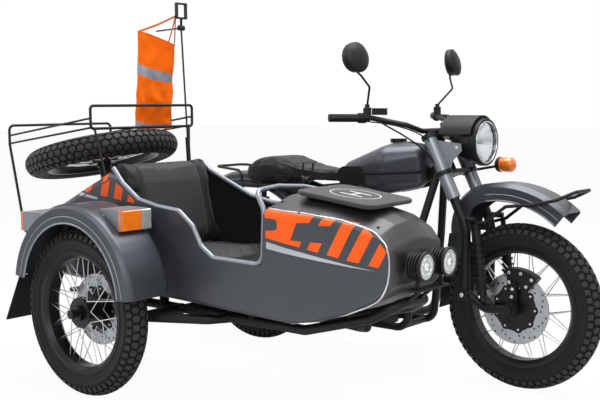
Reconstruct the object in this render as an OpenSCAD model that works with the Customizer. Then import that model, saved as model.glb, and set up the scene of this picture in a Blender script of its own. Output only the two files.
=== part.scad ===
// Motorcycle with a sidecar, in millimetres.
// +X is forward, +Y is left, +Z is up, and the wheels stand on Z = 0.
// Inside the modules X = 0 is the rear axle and Y = 0 is the motorcycle's middle plane;
// placed() moves that to the middle of the whole outfit's box.

/* [Wheels] */
// Distance between the front and rear axles
wheelbase = 1470; // [1440:5:1770]
// Outer radius of every tyre
tyre_r = 345; // [340:1:350]
// Width of every tyre
tyre_w = 108; // [96:1:130]
// Radius where the tyre's bead sits on the rim
bead_r = 241; // [236:1:244]
// Width of the rim between its flanges
rim_w = 76; // [70:1:90]
// Diameter of the wheel axles
axle_d = 20; // [16:1:24]
// Half the length of each wheel hub
hub_half = 55; // [50:1:58]
// Radius of the spoke flanges on the hubs
hub_flange_r = 62; // [56:1:70]
// Number of spokes on each side of a wheel
spoke_pairs = 18; // [12:1:20]
// Diameter of a spoke
spoke_d = 4; // [3:0.5:5]
// Outer radius of the brake discs
disc_r = 148; // [135:1:160]
// Thickness of the brake discs
disc_t = 5; // [4:0.5:6]

/* [Layout] */
// Distance from the motorcycle's middle plane to the sidecar wheel's
track = 1190; // [1180:5:1430]
// How far the sidecar wheel stands ahead of the rear wheel
lead = 130; // [100:1:160]

/* [Steering] */
// Rake of the steering axis, in degrees
rake = 26; // [24:0.5:28]
// Distance that the steering axis meets the ground ahead of the front axle
trail = 79; // [60:1:90]
// Height of the steering head's middle
head_z = 950; // [940:1:960]
// Length of the steering head
head_len = 150; // [130:1:160]
// Diameter of the steering stem
stem_d = 26; // [24:1:32]
// Diameter of the lower fork tubes
fork_d = 42; // [36:1:50]
// How far the fork tubes stand ahead of the steering axis
fork_offset = 32; // [28:1:36]
// Radius of the headlamp's rim
lamp_r = 98; // [88:1:104]

/* [Motorcycle] */
// Diameter of the frame's tubes
tube_d = 34; // [30:1:38]
// Distance from the middle plane to the cradle tubes
cradle_y = 110; // [108:1:120]
// Height of the cradle tubes' centre line
cradle_z = 200; // [190:1:210]
// Height of the crankshaft and of both cylinders
crank_z = 400; // [390:1:410]
// Distance from the middle plane to the outer face of the rocker covers
cylinder_reach = 404; // [390:1:420]
// Outer radius of the rear fender
rear_fender_r = 510; // [500:1:530]
// Diameter of the handlebar
bar_d = 22; // [20:1:26]

/* [Sidecar] */
// Width of the sidecar body
tub_w = 530; // [500:1:560]
// Gap between the sidecar body and its wheel's tyre
wheel_gap = 91; // [88:1:110]
// Wall thickness of the sidecar body
tub_wall = 12; // [10:0.5:15]
// Radius of the sidecar body's edges
edge_r = 25; // [20:1:32]
// Diameter of the sidecar frame's tubes
sidecar_tube_d = 38; // [34:1:40]
// Outer radius of the sidecar fender
fender_r = 372; // [368:1:380]
// Width of the sidecar fender
fender_w = 214; // [200:1:220]
// Thickness of every fender's sheet
sheet_t = 4; // [3:0.5:5]
// Diameter of the luggage rack's tubes
rack_d = 12; // [10:0.5:14]
// Tilt of the spare wheel, in degrees
spare_tilt = 13.5; // [12:0.5:15]

/* [Hidden] */
$fn = 48;

running = 0.05;      // radial clearance of an axle or stem in its bore
seat_gap = 0.3;      // gap between pieces that rest on each other
clear = 6;           // gap around pieces that move
lap = 1;             // how far a straight tube reaches into its elbow

// Driving points of the motorcycle
steer_foot = wheelbase + trail;
head_x = steer_foot - head_z * tan(rake);
yoke_t = 18;
yoke_gap = 1;
fender_half = tyre_w / 2 + 24;
fork_y = fender_half + clear + fork_d / 2;
cover_d = fork_d + 14;
link_x = wheelbase - 212;
link_z = 385;
link_d = 36;
engine_x = wheelbase - 750;
pivot_x = engine_x - 330;
pivot_z = 370;
arm_d = 36;
arm_y = tyre_w / 2 + 28 + arm_d / 2;
rear_fender_half = tyre_w / 2 + 36;
rail_y = rear_fender_half + 28;
rail_z = 790;
rail_d = 26;
shaft_start = [engine_x - 280, -58, 428];
shaft_end = [97, -tyre_w / 2 - 30, 398.5];
lamp_z = 1018;
lamp_x = wheelbase - 180;

// Driving points of the sidecar
wheel_y = -track;
tub_right = wheel_y + tyre_w / 2 + wheel_gap;
tub_left = tub_right + tub_w;
tub_y = (tub_right + tub_left) / 2;
tub_rear = -310;
cockpit_rear = 112;
deck_x = 970;
sill_z = 600;
nose_x = 1482;
frame_z = 350;
side_arm_y = wheel_y + tyre_w / 2 + 36;
fender_x = lead + 20;
fender_z = 421;
fender_in = wheel_y + fender_w / 2;

// Trunk lid: its rim line and its hinge
rim_front = [cockpit_rear, 872];
rim_rear = [tub_rear - 25, 680];
hinge = [-350, 628];
hinge_y = 205;
pin_d = 12;

// Box of the whole outfit, which placed() centres
rack_rear_x = -580;
grip_out = 451;
middle_x = (rack_rear_x - rack_d / 2 + wheelbase + tyre_r) / 2;
middle_y = (grip_out + wheel_y - fender_w / 2) / 2;

module placed() translate([-middle_x, -middle_y, 0]) children();

// ---- helpers -------------------------------------------------------------

function unit(v) = v / norm(v);
function turn_at(pts, i) = acos(unit(pts[i] - pts[i - 1]) * unit(pts[i + 1] - pts[i]));
function cutback(pts, i, bend) = i == 0 || i == len(pts) - 1 ? 0 : bend * tan(turn_at(pts, i) / 2);

// A point given in the steering head's own axes
function steered(x, y, z) = [
    head_x + x * cos(rake) - z * sin(rake),
    y,
    head_z + x * sin(rake) + z * cos(rake)
];

// Height of the sidecar body's belly under the cockpit at x
function belly(x) =
    424 - (x - cockpit_rear)
        * (x < cockpit_rear ? 16 / (cockpit_rear - tub_rear - edge_r) : 26 / (deck_x - cockpit_rear));

module rod(a, b, d) {
    v = b - a;
    translate(a) rotate([0, acos(v[2] / norm(v)), atan2(v[1], v[0])]) cylinder(h = norm(v), d = d);
}

// Round corner of a bent tube, as a piece of a torus
module elbow(before, corner, after, bend, d) {
    u = unit(corner - before);
    w = unit(after - corner);
    turn = acos(u * w);
    n = unit(w - u * (u * w));
    k = cross(-n, u);
    c = corner - u * bend * tan(turn / 2) + n * bend;
    multmatrix([
        [-n[0], u[0], k[0], c[0]],
        [-n[1], u[1], k[1], c[1]],
        [-n[2], u[2], k[2], c[2]]
    ])
        rotate_extrude(angle = turn) translate([bend, 0]) circle(d = d);
}

// The elbows are a hair thicker, so they close over the ends of the straight lengths
module bent_tube(pts, d, bend) {
    last = len(pts) - 1;
    for (i = [0 : last - 1]) {
        u = unit(pts[i + 1] - pts[i]);
        start = i == 0 ? 0 : cutback(pts, i, bend) - lap;
        stop = i == last - 1 ? 0 : cutback(pts, i + 1, bend) - lap;
        rod(pts[i] + u * start, pts[i + 1] - u * stop, d);
    }
    if (last > 1)
        for (i = [1 : last - 1]) elbow(pts[i - 1], pts[i], pts[i + 1], bend, d + 0.4);
}

// Closed loop of bent tube
module tube_loop(pts, d, bend) {
    n = len(pts);
    for (i = [0 : n - 1]) {
        a = pts[i];
        b = pts[(i + 1) % n];
        z = pts[(i + 2) % n];
        y = pts[(i + n - 1) % n];
        u = unit(b - a);
        start = bend * tan(acos(unit(a - y) * u) / 2) - lap;
        stop = bend * tan(acos(u * unit(z - b)) / 2) - lap;
        rod(a + u * start, b - u * stop, d);
        elbow(a, b, z, bend, d + 0.4);
    }
}

// Box from its lowest to its highest corner
module block(low, high) translate(low) cube(high - low);

// Cylinder along Y from y1 to y2
module drum(x, y1, y2, z, d) translate([x, y1, z]) rotate([-90, 0, 0]) cylinder(h = y2 - y1, d = d);

// Ring of profile [radius, y] turned about an axle along Y, from angle a to angle b above +X
module around_axle(x, y, z, a, b) {
    translate([x, y, z]) rotate([90, 0, 0]) rotate([0, 0, a]) rotate_extrude(angle = b - a) children();
}

// Side outline [x, z], as a plate from y1 to y2
module side_plate(pts, y1, y2) {
    translate([0, y2, 0]) rotate([90, 0, 0]) linear_extrude(height = y2 - y1) polygon(pts);
}

// Bent sheet section of a fender: crown, shoulders and sides
module fender_section(r, half, depth, t = sheet_t) {
    difference() {
        polygon([
            [r - depth, -half], [r - 16, -half], [r, -half + 26],
            [r, half - 26], [r - 16, half], [r - depth, half]
        ]);
        polygon([
            [r - depth - 1, -half + t], [r - 16 - t * 0.4, -half + t], [r - t, -half + 26 + t * 0.4],
            [r - t, half - 26 - t * 0.4], [r - 16 - t * 0.4, half - t], [r - depth - 1, half - t]
        ]);
    }
}

// ---- wheels --------------------------------------------------------------

module tyre() {
    half = tyre_w / 2;
    rotate([90, 0, 0]) rotate_extrude() union() {
        difference() {
            translate([tyre_r - half, 0]) circle(r = half);
            translate([0, -half]) square([bead_r + seat_gap, tyre_w]);
        }
        polygon([
            [bead_r + seat_gap, -rim_w / 2], [bead_r + 11, -rim_w / 2], [tyre_r - half, -half],
            [tyre_r - half, half], [bead_r + 11, rim_w / 2], [bead_r + seat_gap, rim_w / 2]
        ]);
    }
}

// Rim, hub and laced spokes; disc_side is -1 or 1 for a brake disc on that Y side, or 0 for none
module laced_wheel(disc_side) {
    lip = rim_w / 2 + seat_gap;
    well_r = bead_r - 19;
    difference() {
        union() {
            rotate([90, 0, 0]) rotate_extrude() polygon([
                [well_r, -25], [well_r, 25], [bead_r - 5, lip + 3], [bead_r + 11, lip + 3],
                [bead_r + 11, lip], [bead_r, lip], [bead_r, -lip], [bead_r + 11, -lip],
                [bead_r + 11, -lip - 3], [bead_r - 5, -lip - 3]
            ]);
            drum(0, -hub_half, hub_half, 0, 64);
            for (s = [-1, 1]) {
                drum(0, s * 34 - 4, s * 34 + 4, 0, hub_flange_r * 2);
                for (i = [0 : spoke_pairs - 1]) {
                    a = i * 360 / spoke_pairs;
                    lean = i % 2 == 0 ? 42 : -42;
                    rod(
                        [(hub_flange_r - 5) * cos(a), s * 34, (hub_flange_r - 5) * sin(a)],
                        [(well_r + 4) * cos(a + lean), s * 9, (well_r + 4) * sin(a + lean)],
                        spoke_d
                    );
                }
            }
            if (disc_side != 0) {
                y = disc_side * (hub_half + 9);
                drum(0, min(disc_side * 40, y), max(disc_side * 40, y), 0, 84);
                translate([0, y, 0]) rotate([90, 0, 0]) rotate_extrude() {
                    translate([disc_r - 58, -disc_t / 2]) square([58, disc_t]);
                    translate([30, -disc_t / 2 - 1]) square([disc_r - 84, disc_t + 2]);
                }
            }
        }
        drum(0, -hub_half - 20, hub_half + 20, 0, axle_d + 2 * running);
    }
}

module front_tyre() color("#1d1e20") translate([wheelbase, 0, tyre_r]) tyre();
module rear_tyre() color("#1d1e20") translate([0, 0, tyre_r]) tyre();
module sidecar_tyre() color("#1d1e20") translate([lead, wheel_y, tyre_r]) tyre();
module front_rim() color("#26272a") translate([wheelbase, 0, tyre_r]) laced_wheel(-1);
module rear_rim() color("#26272a") translate([0, 0, tyre_r]) laced_wheel(1);
module sidecar_rim() color("#26272a") translate([lead, wheel_y, tyre_r]) laced_wheel(1);

// ---- motorcycle frame ----------------------------------------------------

module frame() color("#18191b") {
    foot_x = wheelbase - 500;
    upright = [pivot_x, cradle_y, pivot_z];
    difference() {
        union() {
            translate([head_x, 0, head_z]) rotate([0, -rake, 0])
                cylinder(h = head_len, d = 62, center = true);
            bent_tube([
                steered(0, 0, -12), [head_x - 90, 0, 848], [pivot_x - 45, 0, 774]
            ], tube_d + 4, 60);
            for (s = [-1, 1]) {
                bent_tube([
                    steered(-8, s * 14, -12), [foot_x + 45, s * 98, 600], [foot_x, s * cradle_y, cradle_z],
                    [pivot_x, s * cradle_y, cradle_z], [pivot_x - 45, s * cradle_y, 786]
                ], tube_d, 60);
                // Seat rail and the fender stay on it
                bent_tube([
                    [pivot_x - 40, s * cradle_y, rail_z - 18], [pivot_x - 120, s * rail_y, rail_z],
                    [-110, s * rail_y, rail_z]
                ], rail_d, 60);
                rod(
                    [-70, s * rail_y, rail_z], [-70, s * (rear_fender_half + seat_gap), rail_z], 14
                );
            }
            rod([pivot_x - 45, -cradle_y, 772], [pivot_x - 45, cradle_y, 772], tube_d - 5);
            rod([foot_x - 40, -cradle_y, cradle_z], [foot_x - 40, cradle_y, cradle_z], tube_d - 6);
            rod([pivot_x + 60, -cradle_y, cradle_z], [pivot_x + 60, cradle_y, cradle_z], tube_d - 6);
            // Engine feet on the cradle
            for (s = [-1, 1], x = [engine_x - 70, engine_x + 60])
                block([x, s * cradle_y - 12, cradle_z], [x + 40, s * cradle_y + 12, 224.7]);
        }
        translate([head_x, 0, head_z]) rotate([0, -rake, 0])
            cylinder(h = head_len + 60, d = stem_d + 2 * running, center = true);
    }
}

module engine() color("#2b2d30") {
    case_half = 118;
    side_plate([
        [engine_x - 110, 225], [engine_x + 95, 225], [engine_x + 130, 265], [engine_x + 130, 440],
        [engine_x + 100, 492], [engine_x - 60, 500], [engine_x - 110, 478]
    ], -98, 98);
    for (s = [-1, 1], x = [engine_x - 75, engine_x + 55])
        block([x, s * 108 - 20, 225], [x + 50, s * 108 + 20 - (s > 0 ? 0 : 0), 262]);
    for (s = [-1, 1]) drum(engine_x, s > 0 ? 98 : -case_half, s > 0 ? case_half : -98, crank_z, 150);
    // Sump with its ribs
    block([engine_x - 95, -80, 188], [engine_x + 85, 80, 225]);
    for (i = [0 : 5]) block([engine_x - 90 + i * 33, -74, 176], [engine_x - 84 + i * 33, 74, 188]);
    // Front cover and the generator above it
    translate([engine_x + 130, 0, 385]) rotate([0, 90, 0]) cylinder(h = 34, d = 190);
    translate([engine_x - 30, 0, 536]) rotate([0, 90, 0]) cylinder(h = 150, d = 86);
    block([engine_x - 20, -30, 492], [engine_x + 95, 30, 510]);
}

module gearbox() color("#3a3c40") {
    rear_x = engine_x - 290;
    translate([engine_x - 150, 0, 395]) rotate([0, 90, 0]) cylinder(h = 40 - seat_gap, d = 228);
    side_plate([
        [rear_x, 300], [engine_x - 150, 288], [engine_x - 150, 500], [rear_x + 70, 490], [rear_x, 455]
    ], -76, 76);
    // Drive shaft to the rear wheel, with its coupling
    v = unit(shaft_end - shaft_start);
    rod(shaft_start, shaft_end - v * seat_gap, 30);
    rod(shaft_start, shaft_start + v * 70, 52);
}

// Finned barrel, head and rocker cover on one side
module cylinder_unit(s) {
    barrel = 118;
    head = 290;
    port_y = 331;
    mirror([0, s > 0 ? 0 : 1, 0]) {
        drum(engine_x, barrel + seat_gap, head, crank_z, 112);
        for (i = [0 : 9]) drum(engine_x, barrel + 8 + i * 16.5, barrel + 14 + i * 16.5, crank_z, 158);
        drum(engine_x, head, cylinder_reach - 34, crank_z, 128);
        for (i = [0 : 4]) drum(engine_x, head + i * 16, head + 8 + i * 16, crank_z, 176);
        // Rocker cover
        translate([engine_x, cylinder_reach, crank_z]) rotate([90, 0, 0])
            linear_extrude(height = 36) union() {
                square([96, 132], center = true);
                square([120, 108], center = true);
                for (x = [-48, 48], z = [-54, 54]) translate([x, z]) circle(r = 12);
            }
        // Intake and exhaust ports
        rod([engine_x, port_y, 418], [engine_x - 104, port_y, 434], 50);
        rod([engine_x, port_y, 382], [engine_x + 104, port_y, 366], 50);
    }
}

module cylinders() color("#8d9196") for (s = [-1, 1]) cylinder_unit(s);

module intake() color("#1c1d1f") {
    port = [engine_x - 104, 331, 434];
    gone = port + [-seat_gap, 0, 0.05];
    block([engine_x - 262, -84, 545], [engine_x - 130, 84, 700]);
    for (s = [-1, 1]) {
        bent_tube([
            [engine_x - 190, s * 70, 600], [engine_x - 190, s * 250, 585],
            [engine_x - 175, s * 331, 445], [gone[0], s * 331, gone[2]]
        ], 42, 45);
        // Throttle body
        rod([engine_x - 160, s * 331, 442.6], [engine_x - 112, s * 331, 435.3], 58);
    }
}

// Header pipe and silencer on one side
module exhaust_unit(s) {
    port_x = engine_x + 104 + seat_gap;
    y = s * 331;
    low_y = s * 190;
    bent_tube([
        [port_x, y, 365.9], [engine_x + 165, y, 356], [engine_x + 150, s * 262, 215],
        [engine_x + 60, low_y, 190], [engine_x - 200, low_y, 205], [pivot_x - 60, low_y, 269]
    ], 38, 42);
    rod([pivot_x - 30, low_y, 268], [-300, low_y, 305], 84);
    rod([-300, low_y, 305], [-345, low_y, 308], 44);
}

module exhausts() color("#202124") for (s = [-1, 1]) exhaust_unit(s);

// Outside of the tank, grown all over by a gap
module tank_body(grow) {
    x = head_x;
    hull() {
        for (s = [-1, 1]) {
            translate([x - 122, s * 38, 948]) sphere(r = 55 + grow, $fn = 32);
            translate([x - 112, s * 34, 858]) sphere(r = 46 + grow, $fn = 32);
            translate([x - 235, s * 78, 925]) sphere(r = 74 + grow, $fn = 32);
            translate([x - 240, s * 80, 852]) sphere(r = 68 + grow, $fn = 32);
            translate([x - 425, s * 66, 872]) sphere(r = 56 + grow, $fn = 32);
        }
        translate([x - 215, 0, 930]) sphere(r = 86 + grow, $fn = 32);
    }
}

module fuel_tank() color("#4a4d55") {
    difference() {
        tank_body(0);
        // Tunnel for the frame's backbone
        side_plate([
            [pivot_x + 90, 700], [pivot_x + 90, 809.7], [head_x - 94, 872.7], [head_x, 960], [head_x, 700]
        ], -26, 26);
    }
    // Filler neck and cap
    translate([head_x - 235, 0, 1008]) cylinder(h = 18, d = 74);
}

module knee_pads() color("#161718") difference() {
    for (s = [-1, 1]) translate([head_x - 392, s * 130, 862]) rotate([-90 * s, 0, -s * 9])
        linear_extrude(height = 16) union() {
            square([64, 84], center = true);
            for (x = [-32, 32]) translate([x, 0]) circle(d = 84);
        }
    tank_body(seat_gap);
}

module saddle() color("#1b1b1d") {
    front = head_x - 486;
    difference() {
        side_plate([
            [front, 830], [320, 830], [300, rail_z + rail_d / 2 + seat_gap],
            [60, rail_z + rail_d / 2 + seat_gap], [26, 830], [34, 880], [84, 916], [160, 928],
            [232, 925], [300, 904], [372, 884], [480, 874], [front - 30, 880], [front, 866]
        ], -132, 132);
        around_axle(0, 0, tyre_r, 0, 180) translate([200, -rear_fender_half - 2])
            square([rear_fender_r - 198, rear_fender_half * 2 + 4]);
    }
}

module side_covers() color("#43464d") {
    for (s = [-1, 1]) {
        y = s > 0 ? 84 + seat_gap : -108;
        side_plate([
            [pivot_x + 34, 575], [engine_x - 218, 548], [engine_x - 218, 700], [pivot_x + 64, 752],
            [pivot_x + 30, 744]
        ], y, y + 24 - seat_gap);
    }
}

module footrests() color("#17181a") {
    peg_x = pivot_x + 140;
    for (s = [-1, 1]) {
        y = s * cradle_y;
        block([peg_x - 16, y - 6, cradle_z + tube_d / 2 + seat_gap], [peg_x + 16, y + 6, 316]);
        rod([peg_x, y, 300], [peg_x, s * 250, 300], 26);
        // Brake pedal on the right, gear lever on the left
        rod([peg_x + 12, y, 250], [peg_x + 175, s * 250, 268], 11);
        rod([peg_x + 175, s * 236, 268], [peg_x + 175, s * 275, 268], 20);
    }
    // Kick starter on the left
    bent_tube([[engine_x - 230, 76.3, 420], [engine_x - 230, 132, 420], [engine_x - 275, 140, 520]], 14, 16);
    rod([engine_x - 275, 132, 520], [engine_x - 275, 205, 520], 18);
}

module rear_fender() color("#4a4d55") {
    around_axle(0, 0, tyre_r, 49, 186) fender_section(rear_fender_r, rear_fender_half, 66);
}

module tail_lamp() {
    r = rear_fender_r + seat_gap;
    a = 163;
    translate([0, 0, tyre_r]) rotate([0, -a, 0]) {
        color("#1a1b1d") {
            difference() {
                block([r - 12, -42, -36], [r + 34, 42, 36]);
                rotate([90, 0, 0]) cylinder(h = 200, r = r, center = true, $fn = 96);
            }
            rod([r + 14, -120, 0], [r + 14, 120, 0], 14);
            block([r + 4, -75, -128], [r + 9, 75, -36]);
        }
        color("#b3201a") block([r + 34, -40, -34], [r + 50, 40, 34]);
        color("#f07a12") for (s = [-1, 1])
            translate([r + 14, s * 120, 0]) rotate([0, 90, 0]) cylinder(h = 44, d = 62, center = true);
    }
}

module pillion_rail() color("#1c1d20") {
    y = rear_fender_half + 38;
    bent_tube([
        [10, -y, rail_z + rail_d / 2 + 0.5], [8, -y, 858], [-190, -y + 26, 872],
        [-190, y - 26, 872], [8, y, 858], [10, y, rail_z + rail_d / 2 + 0.5]
    ], 13, 34);
}

module swing_arm() color("#1b1c1e") {
    drum(pivot_x, -84, 84, pivot_z, 40);
    for (s = [-1, 1]) {
        bent_tube([
            [pivot_x, s * 60, pivot_z], [pivot_x - 45, s * 84, 366], [pivot_x - 95, s * arm_y, 362],
            [0, s * arm_y, tyre_r]
        ], arm_d, 40);
    }
    // Final drive housing on the right
    drum(0, -tyre_w / 2 - 84, -tyre_w / 2 - 17, tyre_r, 176);
    rod(shaft_end + unit(shaft_end - shaft_start) * 62, shaft_end, 46);
    drum(0, arm_y - arm_d / 2 - 1, arm_y + arm_d / 2 + 1, tyre_r, 54);
    for (s = [-1, 1])
        drum(112, min(s * arm_y, s * (rail_y + 14)), max(s * arm_y, s * (rail_y + 14)), 358, 32);
    // Axle and its nut
    drum(0, -tyre_w / 2 - 40, arm_y + 24, tyre_r, axle_d);
    drum(0, arm_y + arm_d / 2, arm_y + 32, tyre_r, 34);
    // Brake caliper over the disc, on its bracket
    y = hub_half + 9;
    difference() {
        around_axle(0, 0, tyre_r, 62, 112) translate([98, -(y + 20)]) square([72, 38]);
        around_axle(0, 0, tyre_r, 50, 124) translate([60, -(y + disc_t / 2 + 5)])
            square([disc_r - 54, disc_t + 10]);
    }
    block([-14, y + 12, tyre_r + 20], [22, y + 27, tyre_r + 106]);
}

module rear_shocks() color("#1d1e20") {
    for (s = [-1, 1]) {
        low = [112, s * rail_y, 375.6];
        top = [150, s * rail_y, rail_z - rail_d / 2 - 1.7];
        u = unit(top - low);
        rod(low, top, 26);
        rod(low + u * 54, low + u * 130, 50);
        rod(low + u * 140, top - u * 40, 56);
        rod(low + u * 130, low + u * 140, 40);
    }
}

// ---- sidecar chassis -----------------------------------------------------

module sidecar_struts() color("#1a1b1d") {
    rail = tub_left - 45;
    foot = [wheelbase - 500, -cradle_y, cradle_z];
    knee = [wheelbase - 455, -98, 600];
    post_low = [pivot_x, -cradle_y, cradle_z];
    post_top = [pivot_x - 45, -cradle_y, 786];
    difference() {
        union() {
            rod(foot + (knee - foot) * 0.27, [deck_x - 95, rail, frame_z], 28);
            rod(post_low + (post_top - post_low) * 0.22, [pivot_x + 45, rail, frame_z], 28);
            rod(foot + (knee - foot) * 0.8, [deck_x - 40, rail, frame_z], 28);
            rod(post_low + (post_top - post_low) * 0.7, [pivot_x - 40, rail, frame_z], 28);
        }
        // Room for the tubes they are clamped to
        rod([pivot_x - 200, rail, frame_z], [1040, rail, frame_z], sidecar_tube_d + 2 * seat_gap);
        rod(foot + (knee - foot) * 0.17, foot + (knee - foot) * 0.96, tube_d + 2 * seat_gap);
        rod(post_low + (post_top - post_low) * 0.12, post_top, tube_d + 2 * seat_gap);
    }
}

// Lines of the sidecar frame's side rails and of the trailing arm's pivot
rail_left = tub_left - 45;
rail_right = tub_right + 125;
arm_pivot = lead + 280;
step_low = frame_z - 8;
nose_start = 940;

// Room for the two rails, for whatever is joined to them
module rail_room() for (y = [rail_left, rail_right])
    rod([-260, y, frame_z], [nose_start + 40, y, frame_z], sidecar_tube_d + 2 * seat_gap);

// Right rail with the boarding tube, the trailing arm's pivot tube and the towing eye
module sidecar_frame() color("#17181a") difference() {
    union() {
        rod([-262, rail_right, frame_z], [nose_start, rail_right, frame_z], sidecar_tube_d);
        bent_tube([
            [arm_pivot - 5, side_arm_y + 2, step_low], [arm_pivot + 210, tub_right + 58, step_low],
            [arm_pivot + 270, tub_right + 160, step_low], [arm_pivot + 270, tub_right + 330, step_low]
        ], sidecar_tube_d, 60);
        rod([arm_pivot, side_arm_y - 18, frame_z], [arm_pivot, rail_right, frame_z], 44);
        translate([-290, rail_right, frame_z - 7]) cylinder(h = 14, d = 56);
        block([-280, rail_right - 15, frame_z - 7], [-250, rail_right + 15, frame_z + 7]);
    }
    translate([-290, rail_right, frame_z - 20]) cylinder(h = 40, d = 26);
}

module sidecar_nose_tube() color("#17181a") {
    start = nose_start + seat_gap;
    bent_tube([
        [start, rail_left, frame_z], [1060, rail_left, frame_z], [1330, rail_left - 50, 422],
        [1430, tub_y + 100, 480], [1430, tub_y - 84, 480], [1330, rail_right + 46, 422],
        [1060, rail_right, frame_z], [start, rail_right, frame_z]
    ], sidecar_tube_d, 70);
}

// Left rail with the tubes that join it to the right rail
module sidecar_ladder() color("#17181a") {
    rod([-230, rail_left, frame_z], [nose_start, rail_left, frame_z], sidecar_tube_d);
    difference() {
        for (x = [-190, 60, arm_pivot, 900]) rod([x, rail_left, frame_z], [x, rail_right, frame_z], 32);
        rail_room();
    }
}

// Trailing arm with the stub axle
module trailing_arm() color("#17181a") difference() {
    union() {
        bent_tube([
            [arm_pivot, side_arm_y, frame_z], [lead + 90, side_arm_y, 340], [lead, side_arm_y, tyre_r]
        ], 34, 60);
        drum(lead, side_arm_y - 17, side_arm_y + 17, tyre_r, 60);
        drum(lead, wheel_y - hub_half - 18, side_arm_y, tyre_r, axle_d);
        drum(lead, wheel_y - hub_half - 30, wheel_y - hub_half - 10, tyre_r, 36);
    }
    rod([arm_pivot, side_arm_y - 60, frame_z], [arm_pivot, rail_right, frame_z], 44 + 2 * seat_gap);
}

// Tower that carries the top of the shock absorber
module shock_tower() color("#17181a") difference() {
    union() {
        rod([60, rail_right, frame_z], [60, tub_right - 9, frame_z], 32);
        side_plate([[32, frame_z - 12], [88, frame_z - 12], [58, 700], [22, 700]],
            tub_right - 15, tub_right - 5);
        rod([40, tub_right - 10, 682], [40, side_arm_y, 682], 18);
    }
    rail_room();
}

module sidecar_wheel_mount() {
    trailing_arm();
    shock_tower();
}

// Ribbed step that lies on the right rail, with two feet on the boarding tube
module boarding_step() color("#17181a") difference() {
    step_z = frame_z + sidecar_tube_d / 2 + seat_gap;
    tube_x = arm_pivot + 270;
    union() {
        block([arm_pivot + 60, tub_right + 45, step_z], [tube_x + 8, tub_right + 275, step_z + 7]);
        for (i = [0 : 8]) {
            y = tub_right + 50 + i * 26;
            block([arm_pivot + 64, y, step_z + 6], [tube_x + 4, y + 8, step_z + 11]);
        }
        for (y = [208, 254])
            translate([tube_x - 4, tub_right + y, step_low]) cylinder(h = step_z + 3 - step_low, d = 20);
    }
    rod(
        [tube_x, tub_right + 150, step_low], [tube_x, tub_right + 340, step_low],
        sidecar_tube_d + 2 * seat_gap
    );
}

// Rubber blocks under the body
module body_mounts() color("#17181a") difference() {
    for (x = [-150, 300, 800], y = [rail_left, rail_right])
        translate([x, y, frame_z]) cylinder(h = belly(x + 20) - frame_z - seat_gap, d = 40);
    rail_room();
}

module sidecar_shock() color("#1c1d1f") {
    y = side_arm_y + 6;
    low = [lead + 30, y, 345];
    top = [40, y, 682];
    u = unit(top - low);
    difference() {
        union() {
            rod(low, top, 22);
            rod(low + u * 60, low + u * 140, 38);
            rod(low + u * 140, top - u * 34, 44);
        }
        rod([lead + 90, side_arm_y, 340], [lead, side_arm_y, tyre_r], 34 + 2 * seat_gap);
        drum(lead, side_arm_y - 20, side_arm_y + 25, tyre_r, 60 + 2 * seat_gap);
        rod([40, tub_right - 10, 682], [40, side_arm_y - 20, 682], 18 + 2 * seat_gap);
    }
}

// ---- sidecar body --------------------------------------------------------

// Stations of the body: [x, half width, low z, side top z, crown z]
stations = [
    [tub_rear + edge_r, tub_w / 2 - 6, 440, 724, 744],
    [cockpit_rear, tub_w / 2, 424, 905, 932],
    [deck_x, tub_w / 2, 398, 805, 853],
    [1070, tub_w / 2 - 6, 393, 800, 848],
    [1180, tub_w / 2 - 26, 410, 792, 836],
    [1310, tub_w / 2 - 58, 454, 772, 808],
    [1400, tub_w / 2 - 92, 504, 740, 774],
    [1440, tub_w / 2 - 104, 542, 702, 728],
    [nose_x - edge_r - 12, tub_w / 2 - 116, 596, 660, 672]
];

// The balls that round one station's edges, drawn in by the wall for the inside
module station(i, wall) {
    s = stations[i];
    r = edge_r - wall;
    for (side = [-1, 1]) {
        y = tub_y + side * (s[1] - edge_r);
        translate([s[0], y, s[2] + edge_r]) sphere(r = r, $fn = 20);
        translate([s[0], y, s[3] - edge_r]) sphere(r = r, $fn = 20);
        translate([s[0], tub_y + side * s[1] * 0.4, s[4] - edge_r - 8]) sphere(r = r, $fn = 20);
    }
    translate([s[0], tub_y, s[4] - edge_r]) sphere(r = r, $fn = 20);
}

module shell(first, last, wall) {
    for (i = [first : last - 1]) hull() {
        station(i, wall);
        station(i + 1, wall);
    }
    if (last == len(stations) - 1) hull() {
        station(last, wall);
        translate([nose_x - edge_r, tub_y, 628]) sphere(r = edge_r - wall, $fn = 20);
    }
}

// Centre lines [x, z] of the tubes along the cockpit's right and left edges
right_line = [
    [132, 924], [190, 863], [285, 801], [400, 779], [520, 769], [595, 715], [640, 640], [704, sill_z],
    [956, sill_z - 3], [966, 800]
];
left_line = [[132, 928], [192, 886], [440, 787], [560, 764], [800, 758], [958, 796]];
coaming_d = 19;
right_y = tub_right + coaming_d / 2;
left_y = tub_left - coaming_d / 2;

function along(line, y) = [for (p = line) [p[0], y, p[1]]];

left_path = along(left_line, left_y);
// The right tube goes on into the grab bar, whose end stands in the deck
right_path = concat(along(right_line, right_y), [
    [912, right_y + 16, 866], [903, right_y + 150, 874], [930, tub_left - 250, 866],
    [978, tub_left - 160, 844]
]);

// Everything above one edge line, with a groove for the tube that lies in it
module cockpit_cut(line, y1, y2, path) {
    front_z = line[len(line) - 1][1];
    side_plate(
        concat(
            [[cockpit_rear, 1100], [cockpit_rear, 945]], line, [[deck_x, front_z], [deck_x, 1100]]
        ),
        y1, y2
    );
    bent_tube(path, coaming_d + 2 * seat_gap, 45);
}

// Space above the trunk's rim, which the lid closes
module lid_space(drop) {
    side_plate([
        [rim_rear[0] - 60, rim_rear[1] - drop - 26], [rim_front[0], rim_front[1] - drop],
        [rim_front[0], 1100], [rim_rear[0] - 60, 1100]
    ], tub_right - 20, tub_left + 20);
}

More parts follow.
